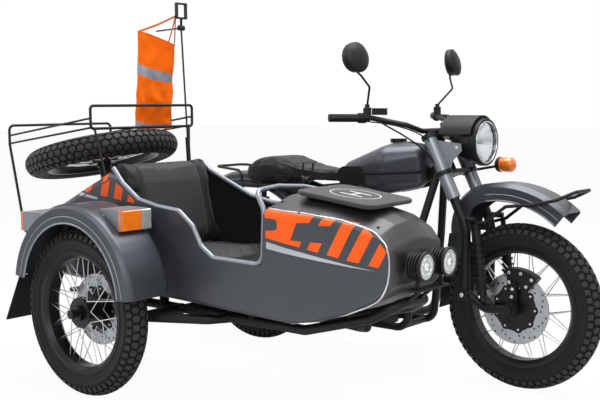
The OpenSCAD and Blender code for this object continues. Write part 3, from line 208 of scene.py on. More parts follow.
def makeFinish(name, look):
    material = bpy.data.materials.new(name)
    material.use_nodes = True
    tree = material.node_tree
    shader = tree.nodes["Principled BSDF"]
    place = addNode(tree, "TexCoord").outputs["Object"]
    cloud = addNode(tree, "TexNoise", {"Vector": place, "Scale": 1000 / look["cloud"], "Detail": 3.0})
    mixed = addNode(
        tree, "MixRGB",
        {"Fac": cloud.outputs["Fac"], "Color1": colour(look["dark"]), "Color2": colour(look["light"])})
    pitch = 1000 / look["grain"]
    if look["kind"] == "cells":
        grain = addNode(
            tree, "TexVoronoi", {"Vector": place, "Scale": pitch}, feature="DISTANCE_TO_EDGE"
        ).outputs["Distance"]
        grain = addNode(tree, "MapRange", {"Value": grain, "From Max": 0.22}).outputs["Result"]
    elif look["kind"] == "weave":
        # warp and weft run along the two diagonals of the object's axes, so no face misses them
        threads = []
        for direction in ((1, 0.6, 1), (1, 0.6, -1)):
            run = addNode(tree, "VectorMath", {0: place, 1: direction}, operation="DOT_PRODUCT")
            turns = addNode(
                tree, "Math", {0: run.outputs["Value"], 1: math.pi * pitch}, operation="MULTIPLY")
            threads.append(addNode(tree, "Math", {0: turns.outputs[0]}, operation="SINE").outputs[0])
        grain = addNode(tree, "Math", {0: threads[0], 1: threads[1]}, operation="MAXIMUM").outputs[0]
    elif look["kind"] == "flutes":
        grain = addNode(
            tree, "TexWave", {"Vector": place, "Scale": pitch / 6.3, "Distortion": 0.0},
            bands_direction="Y").outputs["Fac"]
    else:
        stretch = (0.08, 1, 1) if look["kind"] == "streaks" else (1, 1, 1)
        spread = addNode(tree, "Mapping", {"Vector": place, "Scale": stretch})
        grain = addNode(
            tree, "TexNoise", {"Vector": spread.outputs[0], "Scale": pitch, "Detail": 2.0}
        ).outputs["Fac"]
    rough = addNode(
        tree, "MapRange",
        {"Value": grain, "To Min": look["rough"][0], "To Max": look["rough"][1]}).outputs["Result"]
    # dust and handling: the slow cloud also dulls the surface a little
    rough = addNode(
        tree, "Math", {0: cloud.outputs["Fac"], 1: 0.08, 2: rough}, operation="MULTIPLY_ADD")
    bump = addNode(
        tree, "Bump", {"Height": grain, "Distance": look["bump"] * mm, "Strength": 0.8})
    tree.links.new(mixed.outputs["Color"], shader.inputs["Base Color"])
    tree.links.new(rough.outputs[0], shader.inputs["Roughness"])
    tree.links.new(bump.outputs["Normal"], shader.inputs["Normal"])
    for key, socket in (
            ("metallic", "Metallic"), ("coat", "Coat Weight"), ("coatRough", "Coat Roughness"),
            ("sheen", "Sheen Weight"), ("specular", "Specular IOR Level"),
            ("transmission", "Transmission Weight"), ("ior", "IOR")):
        if key in look:
            shader.inputs[socket].default_value = look[key]
    return material


materials = {name: makeFinish(name, look) for name, look in finishes.items()}
print("sidecar outfit:", len(materials), "finishes")


def facesOf(node, *choices):
    # choices are (finish, test of a face's middle and normal in mm), and the last has no test
    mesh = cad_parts[node].data
    mesh.materials.clear()
    for choice in choices:
        mesh.materials.append(materials[choice[0]])
    indices = []
    for face in mesh.polygons:
        middle = face.center
        point = ((middle.x - originX) / mm, (middle.y - originY) / mm, middle.z / mm)
        for index, choice in enumerate(choices):
            if len(choice) == 1 or choice[1](point, face.normal):
                indices.append(index)
                break
    mesh.polygons.foreach_set("material_index", indices)
    mesh.update()


def softened(node, limit):
    # shading only: faces that meet at less than the limit share their normals
    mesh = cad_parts[node].data
    least = math.cos(math.radians(limit))
    keys = [tuple(round(c, 5) for c in v.co) for v in mesh.vertices]
    around = {}
    flats = []
    for face in mesh.polygons:
        flats.append((face.normal.copy(), face.area, tuple(face.vertices)))
        for corner in face.vertices:
            around.setdefault(keys[corner], []).append(flats[-1])
    normals = []
    for own, _, corners in flats:
        for corner in corners:
            total = Vector((0, 0, 0))
            for normal, area, _ in around[keys[corner]]:
                if normal.dot(own) > least:
                    total += normal * area
            normals.append(total.normalized() if total.length else own)
    mesh.polygons.foreach_set("use_smooth", [True] * len(mesh.polygons))
    mesh.normals_split_custom_set(normals)


for node in ("sidecar_tub", "trunk_lid", "fuel_tank", "sidecar_fender", "rear_fender"):
    softened(node, 50)

plainParts = {
    "powderCoatBlack": [
        "frame", "footrests", "pillion_rail", "swing_arm", "sidecar_frame", "sidecar_struts",
        "sidecar_shock", "sidecar_ladder", "sidecar_nose_tube", "sidecar_wheel_mount",
        "boarding_step", "lid_hinges", "fork_frame", "leading_link",
        "handlebar", "bash_bar", "luggage_rack", "mast", "rear_shocks", "front_shocks"],
    "sandCastPaintedBlack": ["engine", "gearbox"],
    "sandCastAluminium": ["cylinders"],
    "mouldedSoftRubber": ["knee_pads", "mud_flap", "body_mounts"],
    "mouldedBlackAbs": ["intake", "device_holder", "mirrors", "lamp_cowl", "headlamp"],
    "ceramicCoatedSteel": ["exhausts"],
    "satinEnamelGraphite": ["side_covers", "rear_fender", "sidecar_fender"],
    "satinEnamelSilver": ["fork_covers", "coaming_tubes", "fender_lamps"],
    "pressedClearGlass": ["headlamp_glass"],
}
for finish, nodes in plainParts.items():
    for node in nodes:
        facesOf(node, (finish,))

facesOf("fuel_tank", ("anodisedBlackAluminium", lambda p, n: p[2] > 1012), ("satinEnamelGraphite",))
facesOf("front_fender", ("mouldedSoftRubber", lambda p, n: p[2] < 622), ("satinEnamelGraphite",))
facesOf(
    "trunk_lid",
    ("powderCoatBlack", lambda p, n: (Vector(p) - Vector((-220, -788, 880))).length < 62),
    ("satinEnamelGraphite",))
facesOf(
    "sidecar_tub",
    ("needledFeltLining",
     lambda p, n: p[0] > 118 and n.dot(Vector((0, tubMiddle - p[1], 640 - p[2]))) > 0
     and 400 < p[2] and abs(p[1] - tubMiddle) < 262 and p[0] < 1100 and not (
         p[2] > 770 and abs(n.z) > 0.9)),
    # faces of the nose that look up or forward take the darker copy of the enamel: painted shade
    ("satinEnamelPaintedShade", lambda p, n: p[0] > 960 and (n.z > 0.55 or n.x > 0.5)),
    ("satinEnamelGraphite",))
facesOf(
    "tail_lamp", ("flutedRedLens", lambda p, n: p[0] < -545 + (p[2] - 495) * 0.3 and abs(p[1]) < 41),
    ("flutedAmberLens", lambda p, n: abs(p[1]) > 88), ("mouldedBlackAbs",))
facesOf(
    "driving_lamps", ("flutedPaleLens", lambda p, n: p[0] > 1541.5), ("mouldedBlackAbs",))
facesOf("front_turn_lamp", ("flutedAmberLens", lambda p, n: p[0] > 1262), ("mouldedBlackAbs",))
facesOf(
    "hand_controls", ("mouldedSoftRubber", lambda p, n: abs(p[1]) > 300 and abs(p[2] - 1122) < 20),
    ("mouldedBlackAbs",))

wheels = {
    "front": dict(centre=(1470, 0, 345), tilt=0, disc=-64, body="front_wheel"),
    "rear": dict(centre=(0, 0, 345), tilt=0, disc=64, body="rear_wheel"),
    "sidecar": dict(centre=(130, -1190, 345), tilt=0, disc=-1190 + 64, body="sidecar_wheel"),
    "spare": dict(centre=(-240, -788, 957), tilt=13.5, disc=None, body="lid"),
}


def wheelPlace(wheel):
    # the wheel's own frame: its axle is Y there
    spot = Matrix.Translation(at(*wheel["centre"]))
    if wheel["tilt"]:
        spot = spot @ Matrix.Rotation(-math.radians(wheel["tilt"]), 4, "Y") @ Matrix.Rotation(
            math.radians(90), 4, "X")
    return spot


for name, wheel in wheels.items():
    inward = wheelPlace(wheel).inverted()

    def reach(p, inward=inward):
        # radius from the axle and place along it, in mm
        spot = inward @ at(*p)
        return math.hypot(spot.x, spot.z) / mm, spot.y / mm

    facesOf(
        name + "_rim",
        ("drawnStainlessSteel", lambda p, n: 66 < reach(p)[0] < 221 and abs(reach(p)[1]) < 37),
        ("groundSteel", lambda p, n: abs(reach(p)[1]) > 58 and reach(p)[0] > 147),
        ("anodisedBlackAluminium",))
print("sidecar outfit: parts finished")


def dress(piece, body, finish):
    piece.data.materials.clear()
    piece.data.materials.append(materials[finish])
    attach(piece, body)
    return piece


def meshPiece(name, points, faces, body, finish, slot, smooth=True):
    mesh = bpy.data.meshes.new(name)
    mesh.from_pydata(points, [], faces)
    mesh.validate()
    if smooth:
        mesh.polygons.foreach_set("use_smooth", [True] * len(mesh.polygons))
    piece = bpy.data.objects.new(name, mesh)
    scene.collection.objects.link(piece)
    return dress(piece, body, finish)


def easedLine(points, steps=8, closed=False):
    # a smooth line through the points
    points = [Vector(p) for p in points]
    count = len(points)
    line = []
    for i in range(count if closed else count - 1):
        if closed:
            p0, p1, p2, p3 = (points[(i + k - 1) % count] for k in range(4))
        else:
            p0, p1, p2, p3 = (points[min(max(i + k - 1, 0), count - 1)] for k in range(4))
        for s in range(steps):
            t = s / steps
            line.append(0.5 * (
                2 * p1 + (p2 - p0) * t + (2 * p0 - 5 * p1 + 4 * p2 - p3) * t * t
                + (3 * p1 - p0 - 3 * p2 + p3) * t ** 3))
    if not closed:
        line.append(points[-1])
    return line


def tubeShape(line, radius, sides=8, closed=False, flat=1.0, up=None):
    # points and faces of a tube round a line; flat squeezes it into a strap
    points, faces = [], []
    count = len(line)
    side = None
    for i, spot in enumerate(line):
        ahead = line[(i + 1) % count] if closed or i < count - 1 else spot
        behind = line[i - 1] if closed or i else spot
        along = (ahead - behind).normalized()
        if up is not None:
            side = along.cross(Vector(up)).normalized()
        elif side is None:
            side = along.orthogonal().normalized()
        else:
            side = (side - along * side.dot(along)).normalized()
        other = along.cross(side)
        for k in range(sides):
            turn = 2 * math.pi * k / sides
            points.append(spot + side * radius * math.cos(turn) + other * radius * flat * math.sin(turn))
    for i in range(count if closed else count - 1):
        for k in range(sides):
            a, b = i * sides, (i + 1) % count * sides
            faces.append((a + k, a + (k + 1) % sides, b + (k + 1) % sides, b + k))
    if not closed:
        faces.append(tuple(reversed(range(sides))))
        faces.append(tuple(range((count - 1) * sides, count * sides)))
    return points, faces


def joined(shapes):
    points, faces = [], []
    for somePoints, someFaces in shapes:
        start = len(points)
        points += list(somePoints)
        faces += [tuple(i + start for i in face) for face in someFaces]
    return points, faces


def turned(profile, spot, steps=48, closed=False):
    # revolves (radius, along) in mm round the Z of the matrix spot
    points, faces = [], []
    rows = len(profile)
    for s in range(steps):
        turn = 2 * math.pi * s / steps
        for radius, along in profile:
            points.append(spot @ Vector((
                radius * math.cos(turn) * mm, radius * math.sin(turn) * mm, along * mm)))
    for s in range(steps):
        a, b = s * rows, (s + 1) % steps * rows
        for k in range(rows if closed else rows - 1):
            faces.append((a + k, b + k, b + (k + 1) % rows, a + (k + 1) % rows))
    return points, faces


def facing(spot, direction, spin=0):
    # a matrix whose Z looks along the direction
    return Matrix.Translation(spot) @ Vector(direction).to_track_quat("Z", "Y").to_matrix().to_4x4() \
        @ Matrix.Rotation(spin, 4, "Z")


def treeOf(*names):
    points, faces = [], []
    for name in names:
        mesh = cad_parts[name].data
        start = len(points)
        points += [v.co.copy() for v in mesh.vertices]
        faces += [[i + start for i in p.vertices] for p in mesh.polygons]
    return BVHTree.FromPolygons(points, faces)


# tyres with their tread blocks, in mm and degrees
tread = dict(
    radius=345, width=108, bead=241.6, seat=38, groove=8.5, pitches=60, rowTurn=31.5, hexagon=16.8,
    shoulderTurn=63, lugLong=25, lugWide=23, sidewallRings=(258, 272))


def treadShape():
    half = tread["width"] / 2
    crown = tread["radius"] - half
    profile = [(tread["bead"], -tread["seat"]), (252, -tread["seat"])]
    for ring in tread["sidewallRings"]:
        y = -(tread["seat"] + (ring - 252) / (crown - 252) * (half - tread["seat"]))
        profile += [(ring - 3, y), (ring, y - 1.2), (ring + 3, y)]
    for step in range(-12, 13):
        turn = step * 7.5
        depth = tread["groove"] * min(1, max(0, (84 - abs(turn)) / 14))
        minor = half - depth
        profile.append((crown + minor * math.cos(math.radians(turn)), minor * math.sin(math.radians(turn))))
    profile += [(r, -y) for r, y in reversed(profile[:8])]
    # Z of the matrix becomes the axle, which is Y
    shapes = [turned(profile, Matrix.Rotation(math.radians(-90), 4, "X"), 96, closed=True)]

    def skin(turn, tilt, minor):
        reach = (crown + minor * math.cos(tilt)) * mm
        return Vector((reach * math.cos(turn), minor * math.sin(tilt) * mm, reach * math.sin(turn)))

    def block(turn, tilt, corners):
        rings = []
        for grow, minor in ((1.0, half - tread["groove"] - 2), (0.97, half - 1.4), (0.88, half)):
            rings.append([
                skin(turn + u * grow / tread["radius"], tilt + v * grow / half, minor)
                for u, v in corners])
        points = rings[0] + rings[1] + rings[2] + [skin(turn, tilt, half)]
        n = len(corners)
        faces = []
        for ring in (0, 1):
            for k in range(n):
                a, b = ring * n + k, ring * n + (k + 1) % n
                faces.append((a, b, b + n, a + n))
        faces += [(2 * n + k, 2 * n + (k + 1) % n, 3 * n) for k in range(n)]
        faces.append(tuple(reversed(range(n))))
        return points, faces

    size = tread["hexagon"]
    hexagon = [
        (size * math.cos(math.radians(30 + 60 * k)), size * math.sin(math.radians(30 + 60 * k)))
        for k in range(6)]
    long, wide = tread["lugLong"] / 2, tread["lugWide"] / 2
    lug = [(-long, -wide), (long, -wide), (long, wide), (-long, wide)]
    for i in range(tread["pitches"]):
        turn = 2 * math.pi * i / tread["pitches"]
        halfStep = math.pi / tread["pitches"]
        shapes.append(block(turn, 0, hexagon))
        for side in (-1, 1):
            shapes.append(block(turn + halfStep, side * math.radians(tread["rowTurn"]), hexagon))
            shapes.append(block(turn, side * math.radians(tread["shoulderTurn"]), lug))
    return joined(shapes)


treadPoints, treadFaces = treadShape()
for name, wheel in wheels.items():
    piece = meshPiece(
        name + "Tread", treadPoints, treadFaces, wheel["body"], "mouldedTyreRubber", "tyre_rubber",
        smooth=False)
    # only the crowns of the blocks are triangles
    # the crowns take a paler copy of the rubber: painted sheen on the blocks' tops
    piece.data.materials.append(materials["tyreCrownPaintedSheen"])
    piece.data.polygons.foreach_set(
        "material_index", [1 if len(face.vertices) == 3 else 0 for face in piece.data.polygons])
    piece.matrix_world = wheelPlace(wheel)
    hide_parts(name + "_tyre")
print("sidecar outfit: tyres")


# faces of the brake discs and the bolts of their carriers, in mm
disc = dict(
    outer=147.5, inner=96, waves=9, waveDeep=7, thick=0.5, out=3.0, holes=36, holeAcross=8.5,
    holeFrom=113, holeStep=8.6, holeRows=4, carrierBolts=9, boltCircle=88, boltOut=3.4)


def discPlates(name, wheel):
    outline = bpy.data.curves.new(name, "CURVE")
    outline.dimensions = "2D"
    outline.fill_mode = "BOTH"
    outline.extrude = disc["thick"] * mm

    def ring(points):
        spline = outline.splines.new("POLY")
        spline.points.add(len(points) - 1)
        for spot, (x, y) in zip(spline.points, points):
            spot.co = (x * mm, y * mm, 0, 1)
        spline.use_cyclic_u = True

    def circle(radius, cx=0.0, cy=0.0, steps=16, waves=0, deep=0.0):
        points = []
        for k in range(steps):
            turn = 2 * math.pi * k / steps
            r = radius + deep * math.cos(waves * turn)
            points.append((cx + r * math.cos(turn), cy + r * math.sin(turn)))
        return points

    ring(circle(disc["outer"], steps=96))
    ring(circle(disc["inner"], steps=108, waves=disc["waves"], deep=disc["waveDeep"]))
    for k in range(disc["holes"]):
        turn = 2 * math.pi * k / disc["holes"]
        reach = disc["holeFrom"] + (k % disc["holeRows"]) * disc["holeStep"]
        ring(circle(disc["holeAcross"] / 2, reach * math.cos(turn), reach * math.sin(turn), 12))
    holder = bpy.data.objects.new(name, outline)
    scene.collection.objects.link(holder)
    bpy.context.view_layer.update()
    flat = bpy.data.meshes.new_from_object(
        holder.evaluated_get(bpy.context.evaluated_depsgraph_get()))
    points = [v.co.copy() for v in flat.vertices]
    faces = [tuple(p.vertices) for p in flat.polygons]
    bpy.data.objects.remove(holder)
    centre = wheel["centre"]
    shapes = []
    for side in (-1, 1):
        spot = facing(at(centre[0], wheel["disc"] + side * disc["out"], centre[2]), (0, side, 0))
        shapes.append(([spot @ p for p in points], faces))
    meshPiece(name, *joined(shapes), wheel["body"], "groundSteel", "rim_metal", smooth=False)


def hexHead(spot, across, high):
    radius = across / 2 / math.cos(math.radians(30))
    profile = [(radius, 0), (radius, high * 0.85), (radius * 0.86, high), (0.01, high)]
    return turned(profile, spot, steps=6)


for name in ("front", "rear", "sidecar"):
    wheel = wheels[name]
    discPlates(name + "DiscPlates", wheel)
    centre = wheel["centre"]
    heads = []
    for k in range(disc["carrierBolts"]):
        turn = 2 * math.pi * k / disc["carrierBolts"]
        for side in (-1, 1):
            spot = at(
                centre[0] + disc["boltCircle"] * math.cos(turn), wheel["disc"] + side * disc["boltOut"],
                centre[2] + disc["boltCircle"] * math.sin(turn))
            heads.append(hexHead(facing(spot, (0, side, 0)), 9, 2.2))
    meshPiece(
        name + "DiscBolts", *joined(heads), wheel["body"], "drawnStainlessSteel", "rim_metal",
        smooth=False)
print("sidecar outfit: discs")


# voxel, shrink and cap in mm; taper narrows the front; grooves are (axis, place, depth, width)
seatPanel, backPanel = 150, 165    # half widths of the smooth middle panels
stuffing = dict(pressure=4, quality=4, steps=20)
cushions = {
    "saddleCushion": dict(
        node="saddle", body="chassis", voxel=6, shrink=9, cap=13, fill=0.7, rounds=14,
        taper=(330, 600, 0.70), grooves=[("x", 322, 5, 9)], finish="grainedSeatVinyl"),
    "sidecarSeatCushion": dict(
        node="sidecar_seat", body="chassis", voxel=6, shrink=8, cap=14, fill=0.7, rounds=10,
        taper=None, grooves=[("y", tubMiddle + s * seatPanel, 5, 9) for s in (-1, 1)],
        finish="grainedSeatVinyl"),
    "sidecarBackCushion": dict(
        node="sidecar_backrest", body="chassis", voxel=6, shrink=8, cap=14, fill=0.7, rounds=10,
        taper=None, grooves=[("y", tubMiddle + s * backPanel, 6, 9) for s in (-1, 1)],
        finish="grainedSeatVinyl"),
}


def settle(piece):
    # the modifiers' result becomes the mesh
    bpy.context.view_layer.update()
    shaped = piece.evaluated_get(bpy.context.evaluated_depsgraph_get())
    piece.data = bpy.data.meshes.new_from_object(shaped)
    piece.modifiers.clear()


def makeCushion(name, look):
    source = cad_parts[look["node"]]
    piece = bpy.data.objects.new(name, source.data.copy())
    scene.collection.objects.link(piece)
    low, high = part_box(look["node"])
    middleY = (low[1] + high[1]) / 2
    if look["taper"]:
        start, end, narrow = look["taper"]
        for v in piece.data.vertices:
            x = (v.co.x - originX) / mm
            share = min(1, max(0, (x - start) / (end - start)))
            share = share * share * (3 - 2 * share)
            v.co.y = middleY + (v.co.y - middleY) * (1 - (1 - narrow) * share)
    skin = piece.modifiers.new("skin", "REMESH")
    skin.mode = "VOXEL"
    skin.voxel_size = look["voxel"] * mm
    settle(piece)
    normals = [v.normal.copy() for v in piece.data.vertices]
    for v, normal in zip(piece.data.vertices, normals):
        v.co -= normal * look["shrink"] * mm
    rounder = piece.modifiers.new("round", "SMOOTH")
    rounder.factor = 0.5
    rounder.iterations = look["rounds"]
    settle(piece)
    before = [v.co.copy() for v in piece.data.vertices]
    cloth = piece.modifiers.new("stuffing", "CLOTH")
    cloth.settings.use_pressure = True
    cloth.settings.uniform_pressure_force = stuffing["pressure"]
    cloth.settings.effector_weights.gravity = 0
    cloth.settings.quality = stuffing["quality"]
    cloth.point_cache.frame_start = 1
    cloth.point_cache.frame_end = stuffing["steps"]
    for step in range(1, stuffing["steps"] + 1):
        scene.frame_set(step)
    settle(piece)
    scene.frame_set(1)
    for v, was in zip(piece.data.vertices, before):
        move = v.co - was
        if move.length > look["cap"] * mm:
            move *= look["cap"] * mm / move.length
        v.co = was + move
    smoother = piece.modifiers.new("even", "SMOOTH")
    smoother.factor = 0.5
    smoother.iterations = 2
    finer = piece.modifiers.new("finer", "SUBSURF")
    finer.levels = finer.render_levels = 1
    settle(piece)
    # sewn channels: the cover is drawn in along each seam
    for axis, place, deep, wide in look["grooves"]:
        index = "xy".index(axis)
        seam = at(place, place, 0)[index]
        normals = [v.normal.copy() for v in piece.data.vertices]
        for v, normal in zip(piece.data.vertices, normals):
            gap = (v.co[index] - seam) / (wide * mm)
            if abs(gap) < 3:
                v.co -= normal * deep * mm * math.exp(-gap * gap)
    # nothing stands outside the room that the solid part leaves
    for v in piece.data.vertices:
        for k in range(3):
            v.co[k] = min(max(v.co[k], low[k] - 1.0 * mm), high[k] + 4 * mm)
    piece.data.polygons.foreach_set("use_smooth", [True] * len(piece.data.polygons))
    dress(piece, look["body"], look["finish"])
    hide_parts(look["node"])
    return piece


def seamCord(name, piece, axis, place, radius, least):
    # a piping cord laid where a plane meets the cushion's skin, above the least height, in mm
    cut = bmesh.new()
    cut.from_mesh(piece.data)
    index = "xyz".index(axis)
    normal = Vector([1.0 if k == index else 0.0 for k in range(3)])
    spot = at(place, place, place)
    bmesh.ops.bisect_plane(
        cut, geom=cut.verts[:] + cut.edges[:] + cut.faces[:], plane_co=spot, plane_no=normal,
        clear_inner=True, clear_outer=True)
    cut.verts.ensure_lookup_table()
    left = set(cut.edges)
    shapes = []
    while left:
        edge = left.pop()
        chain = [edge.verts[0], edge.verts[1]]
        for front in (False, True):
            while True:
                end = chain[-1] if not front else chain[0]
                following = [e for e in end.link_edges if e in left]
                if not following:
                    break
                left.discard(following[0])
                other = following[0].other_vert(end)
                if front:
                    chain.insert(0, other)
                else:
                    chain.append(other)
        line = [v.co.copy() for v in chain]
        runs, run = [], []
        for p in line:
            if p.z / mm > least:
                run.append(p)
            elif run:
                runs.append(run)
                run = []
        if run:
            runs.append(run)
        for run in runs:
            thin = run[::3] + ([run[-1]] if (len(run) - 1) % 3 else [])
            if len(thin) > 4:
                shapes.append(tubeShape(thin, radius * mm, 6))
    cut.free()
    if shapes:
        meshPiece(name, *joined(shapes), "chassis", "grainedSeatVinyl", "seat_cover")


built = {name: makeCushion(name, look) for name, look in cushions.items()}
for name, panel in (("sidecarSeatCushion", seatPanel), ("sidecarBackCushion", backPanel)):
    mesh = built[name].data
    mesh.materials.append(materials["smoothSeatVinyl"])
    mesh.polygons.foreach_set("material_index", [
        1 if abs((p.center.y - originY) / mm - tubMiddle) < panel else 0 for p in mesh.polygons])
for side, word in ((-1, "Right"), (1, "Left")):
    for name, cushion, panel, least in (
            ("seatPiping", "sidecarSeatCushion", seatPanel, 540),
            ("backPiping", "sidecarBackCushion", backPanel, 600)):
        seamCord(name + word, built[cushion], "y", tubMiddle + side * panel, 2.2, least)
seamCord("saddlePiping", built["saddleCushion"], "x", 322, 2.2, 830)
seamCord("saddleWelt", built["saddleCushion"], "z", 842, 2.6, 0)
print("sidecar outfit: cushions")

# landing mat on the sidecar's deck
mat = dict(
    centre=(1182, tubMiddle + 6, 834), pitch=7.5, yaw=4, side=328, corner=42,
    ring=(92, 96), bar=10, barHigh=92, barApart=56, markLift=18)


def matShape():
    spot = Matrix.Translation(at(*mat["centre"])) @ Matrix.Rotation(math.radians(mat["yaw"]), 4, "Z") \
        @ Matrix.Rotation(math.radians(mat["pitch"]), 4, "Y")
    outline = []
    inner = mat["side"] / 2 - mat["corner"]
    for quarter, (sx, sy) in enumerate(((1, 1), (-1, 1), (-1, -1), (1, -1))):
        for k in range(9):
            turn = math.radians(90 * quarter + 11.25 * k)
            outline.append((
                sx * inner + mat["corner"] * math.cos(turn), sy * inner + mat["corner"] * math.sin(turn)))
    rows = [(0.10, 0), (0.972, 0), (0.992, 2.4), (1.0, 5), (1.0, 12.4), (0.992, 15.4), (0.975, 17.0)]
    rows += [(0.95, 16.4), (0.92, 16.9), (0.7, 17.0), (0.4, 17.3), (0.10, 17.4)]
    points, faces = [], []
    for share, z in rows:
        points += [spot @ Vector((x * share * mm, y * share * mm, z * mm)) for x, y in outline]
    n = len(outline)
    for r in range(len(rows) - 1):
        for k in range(n):
            a, b = r * n + k, r * n + (k + 1) % n
            faces.append((a, b, b + n, a + n))
    faces.append(tuple(reversed(range(n))))
    faces.append(tuple(range((len(rows) - 1) * n, len(rows) * n)))
    return points, faces, spot


matPoints, matFaces, matSpot = matShape()
# the underside follows the falling deck, a little above it
deck = treeOf("sidecar_tub")
for i, point in enumerate(matPoints):
    hit = deck.ray_cast(point + Vector((0, 0, 0.2)), Vector((0, 0, -1)))[0]
    if hit is not None and point.z < hit.z + 0.3 * mm:
        matPoints[i] = Vector((point.x, point.y, hit.z + 0.3 * mm))
landingMat = meshPiece("landingMat", matPoints, matFaces, "chassis", "wovenMatCanvas", "pad_cover")
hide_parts("landing_pad")


def flatRing(inner, outer, lift):
    profile = [(inner, lift - 0.8), (inner, lift), (outer, lift), (outer, lift - 0.8)]
    return turned(profile, matSpot, 72, closed=True)


def flatBar(x1, y1, x2, y2, lift):
    corners = [(x1, y1), (x2, y1), (x2, y2), (x1, y2)]
    points = [matSpot @ Vector((x * mm, y * mm, z * mm)) for z in (lift - 0.8, lift) for x, y in corners]
    sides = [(k, (k + 1) % 4, (k + 1) % 4 + 4, k + 4) for k in range(4)]
    return points, [(3, 2, 1, 0), (4, 5, 6, 7)] + sides


high, apart, bar, lift = mat["barHigh"] / 2, mat["barApart"] / 2, mat["bar"], mat["markLift"]
meshPiece(
    "helipadMarks", *joined([
        flatRing(*mat["ring"], lift), flatBar(-high, -apart - bar, high, -apart, lift),
        flatBar(-high, apart, high, apart + bar, lift), flatBar(-bar / 2, -apart, bar / 2, apart, lift)]),
    "chassis", "castVinylWhite", "pad_cover", smooth=False)
print("sidecar outfit: landing mat")

# windsock, a hung sleeve of cloth
sock = dict(
    middle=(-52, -643, 1078), lean=4, high=428, long=104, deep=31, topDrop=54, columns=72, rows=62,
    fold=9, bandTop=(138, 392), bandWide=46)


def sockShape():
    # a hung sleeve: smooth at its hem, folded towards the open foot
    spot = Matrix.Translation(at(*sock["middle"])) @ Matrix.Rotation(math.radians(sock["lean"]), 4, "Y")
    points, faces, bands = [], [], []
    for r in range(sock["rows"] + 1):
        down = r / sock["rows"]
        for c in range(sock["columns"]):
            turn = 2 * math.pi * c / sock["columns"]
            y = sock["long"] * math.copysign(abs(math.sin(turn)) ** 0.75, math.sin(turn))
            x = sock["deep"] * math.copysign(abs(math.cos(turn)) ** 0.8, math.cos(turn))
            top = sock["high"] - sock["topDrop"] * (y + sock["long"]) / (2 * sock["long"])
            crumple = sock["fold"] * (0.25 + 0.75 * down)
            ripple = noise.noise(Vector((y / 46, top * down / 70, math.cos(turn) * 1.3)))
            crease = noise.noise(Vector((y / 17 + 3, top * down / 38, math.cos(turn) * 2 + 7)))
            x += crumple * (1.5 * ripple + 0.55 * crease)
            y *= 1 - 0.05 * math.sin(math.pi * down) + 0.02 * ripple
            x = max(-40, min(40, x))
            points.append(spot @ Vector((x * mm, y * mm, top * (1 - down) * mm)))
    n = sock["columns"]
    for r in range(sock["rows"]):
        for c in range(n):
            a, b = r * n + c, r * n + (c + 1) % n
            faces.append((a, b, b + n, a + n))
            turn = 2 * math.pi * (c + 0.5) / n
            bow = 16 * math.cos(math.asin(math.sin(turn)))
            fall = sock["high"] * (r + 0.5) / sock["rows"]
            bands.append(any(
                start + bow < fall < start + bow + sock["bandWide"] for start in sock["bandTop"]))
    return points, faces, bands


sockPoints, sockFaces, sockBands = sockShape()
windsock = meshPiece("windsockSleeve", sockPoints, sockFaces, "lid", "ripstopNylonOrange", "orange_cloth")
windsock.data.materials.append(materials["glassBeadTape"])
windsock.data.polygons.foreach_set("material_index", [1 if band else 0 for band in sockBands])
hems = []
for row, radius in ((0, 2.0), (4, 1.0), (sock["rows"], 1.8)):
    start = row * sock["columns"]
    hems.append(tubeShape(sockPoints[start:start + sock["columns"]], radius * mm, 6, closed=True))
sockHems = meshPiece("windsockHems", *joined(hems), "lid", "ripstopNylonOrange", "orange_cloth")
hook = at(22, -566, 1580)
straps = []
for share in (0.75, 0.06, 0.18):
    start = sockPoints[int(sock["columns"] * share)]
    line = easedLine([start, start.lerp(hook, 0.5) + Vector((0, 0, -0.004)), hook], 6)
    straps.append(tubeShape(line, 5 * mm, 6, flat=0.16, up=(1, 0.2, 0)))
sockStraps = meshPiece("windsockStraps", *joined(straps), "lid", "wovenWebbing", "orange_cloth")
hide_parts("windsock")
print("sidecar outfit: windsock")

# stripes on the sidecar's side
tubTree = treeOf("sidecar_tub")
lidTree = treeOf("trunk_lid")
stripeLean = 0.49


def filmOn(tree, outlines, keep=None, lift=1.5):
    # outlines of (x, z) in mm, laid on the right-hand side of a panel; keep is a plane to cut at
    film = bmesh.new()
    for outline in outlines:
        corners = [film.verts.new(at(x, -1400, z)) for x, z in outline]
        film.faces.new(corners)
    low = [min(v.co[k] for v in film.verts) for k in range(3)]
    high = [max(v.co[k] for v in film.verts) for k in range(3)]

    def cut(spot, normal, **also):
        bmesh.ops.bisect_plane(
            film, geom=film.verts[:] + film.edges[:] + film.faces[:], plane_co=spot, plane_no=normal, **also)

    if keep:
        cut(*keep, clear_inner=True)
    for index, normal in ((0, (1, 0, 0)), (2, (0, 0, 1))):
        steps = int((high[index] - low[index]) / (6 * mm))
        for s in range(1, steps + 1):
            spot = Vector(low)
            spot[index] = low[index] + s * 6 * mm
            cut(spot, normal)
    bmesh.ops.triangulate(film, faces=film.faces[:])
    missing = []
    for v in film.verts:
        hit, normal, _, _ = tree.ray_cast(v.co, Vector((0, 1, 0)), 0.7)
        if hit is None:
            missing.append(v)
        else:
            if normal.y > 0:
                normal = -normal
            v.co = hit + normal * lift * mm
    bmesh.ops.delete(film, geom=missing, context="VERTS")
    film.normal_update()
    for face in film.faces:
        if face.normal.y > 0:
            face.normal_flip()
    bmesh.ops.solidify(film, geom=film.faces[:], thickness=0.9 * mm)
    film.verts.ensure_lookup_table()
    for i, v in enumerate(film.verts):
        v.index = i
    shape = [v.co.copy() for v in film.verts], [tuple(v.index for v in f.verts) for f in film.faces]
    film.free()
    return shape


def leaning(left, right, low, high, lean=stripeLean, level=700):
    # a slanted bar between two heights given as functions of x
    corners = []
    for edge, rise in ((left, high), (right, high), (right, low), (left, low)):
        z = rise(edge)
        for _ in range(6):
            z = rise(edge + lean * (z - level))
        corners.append((edge + lean * (z - level), z))
    return corners


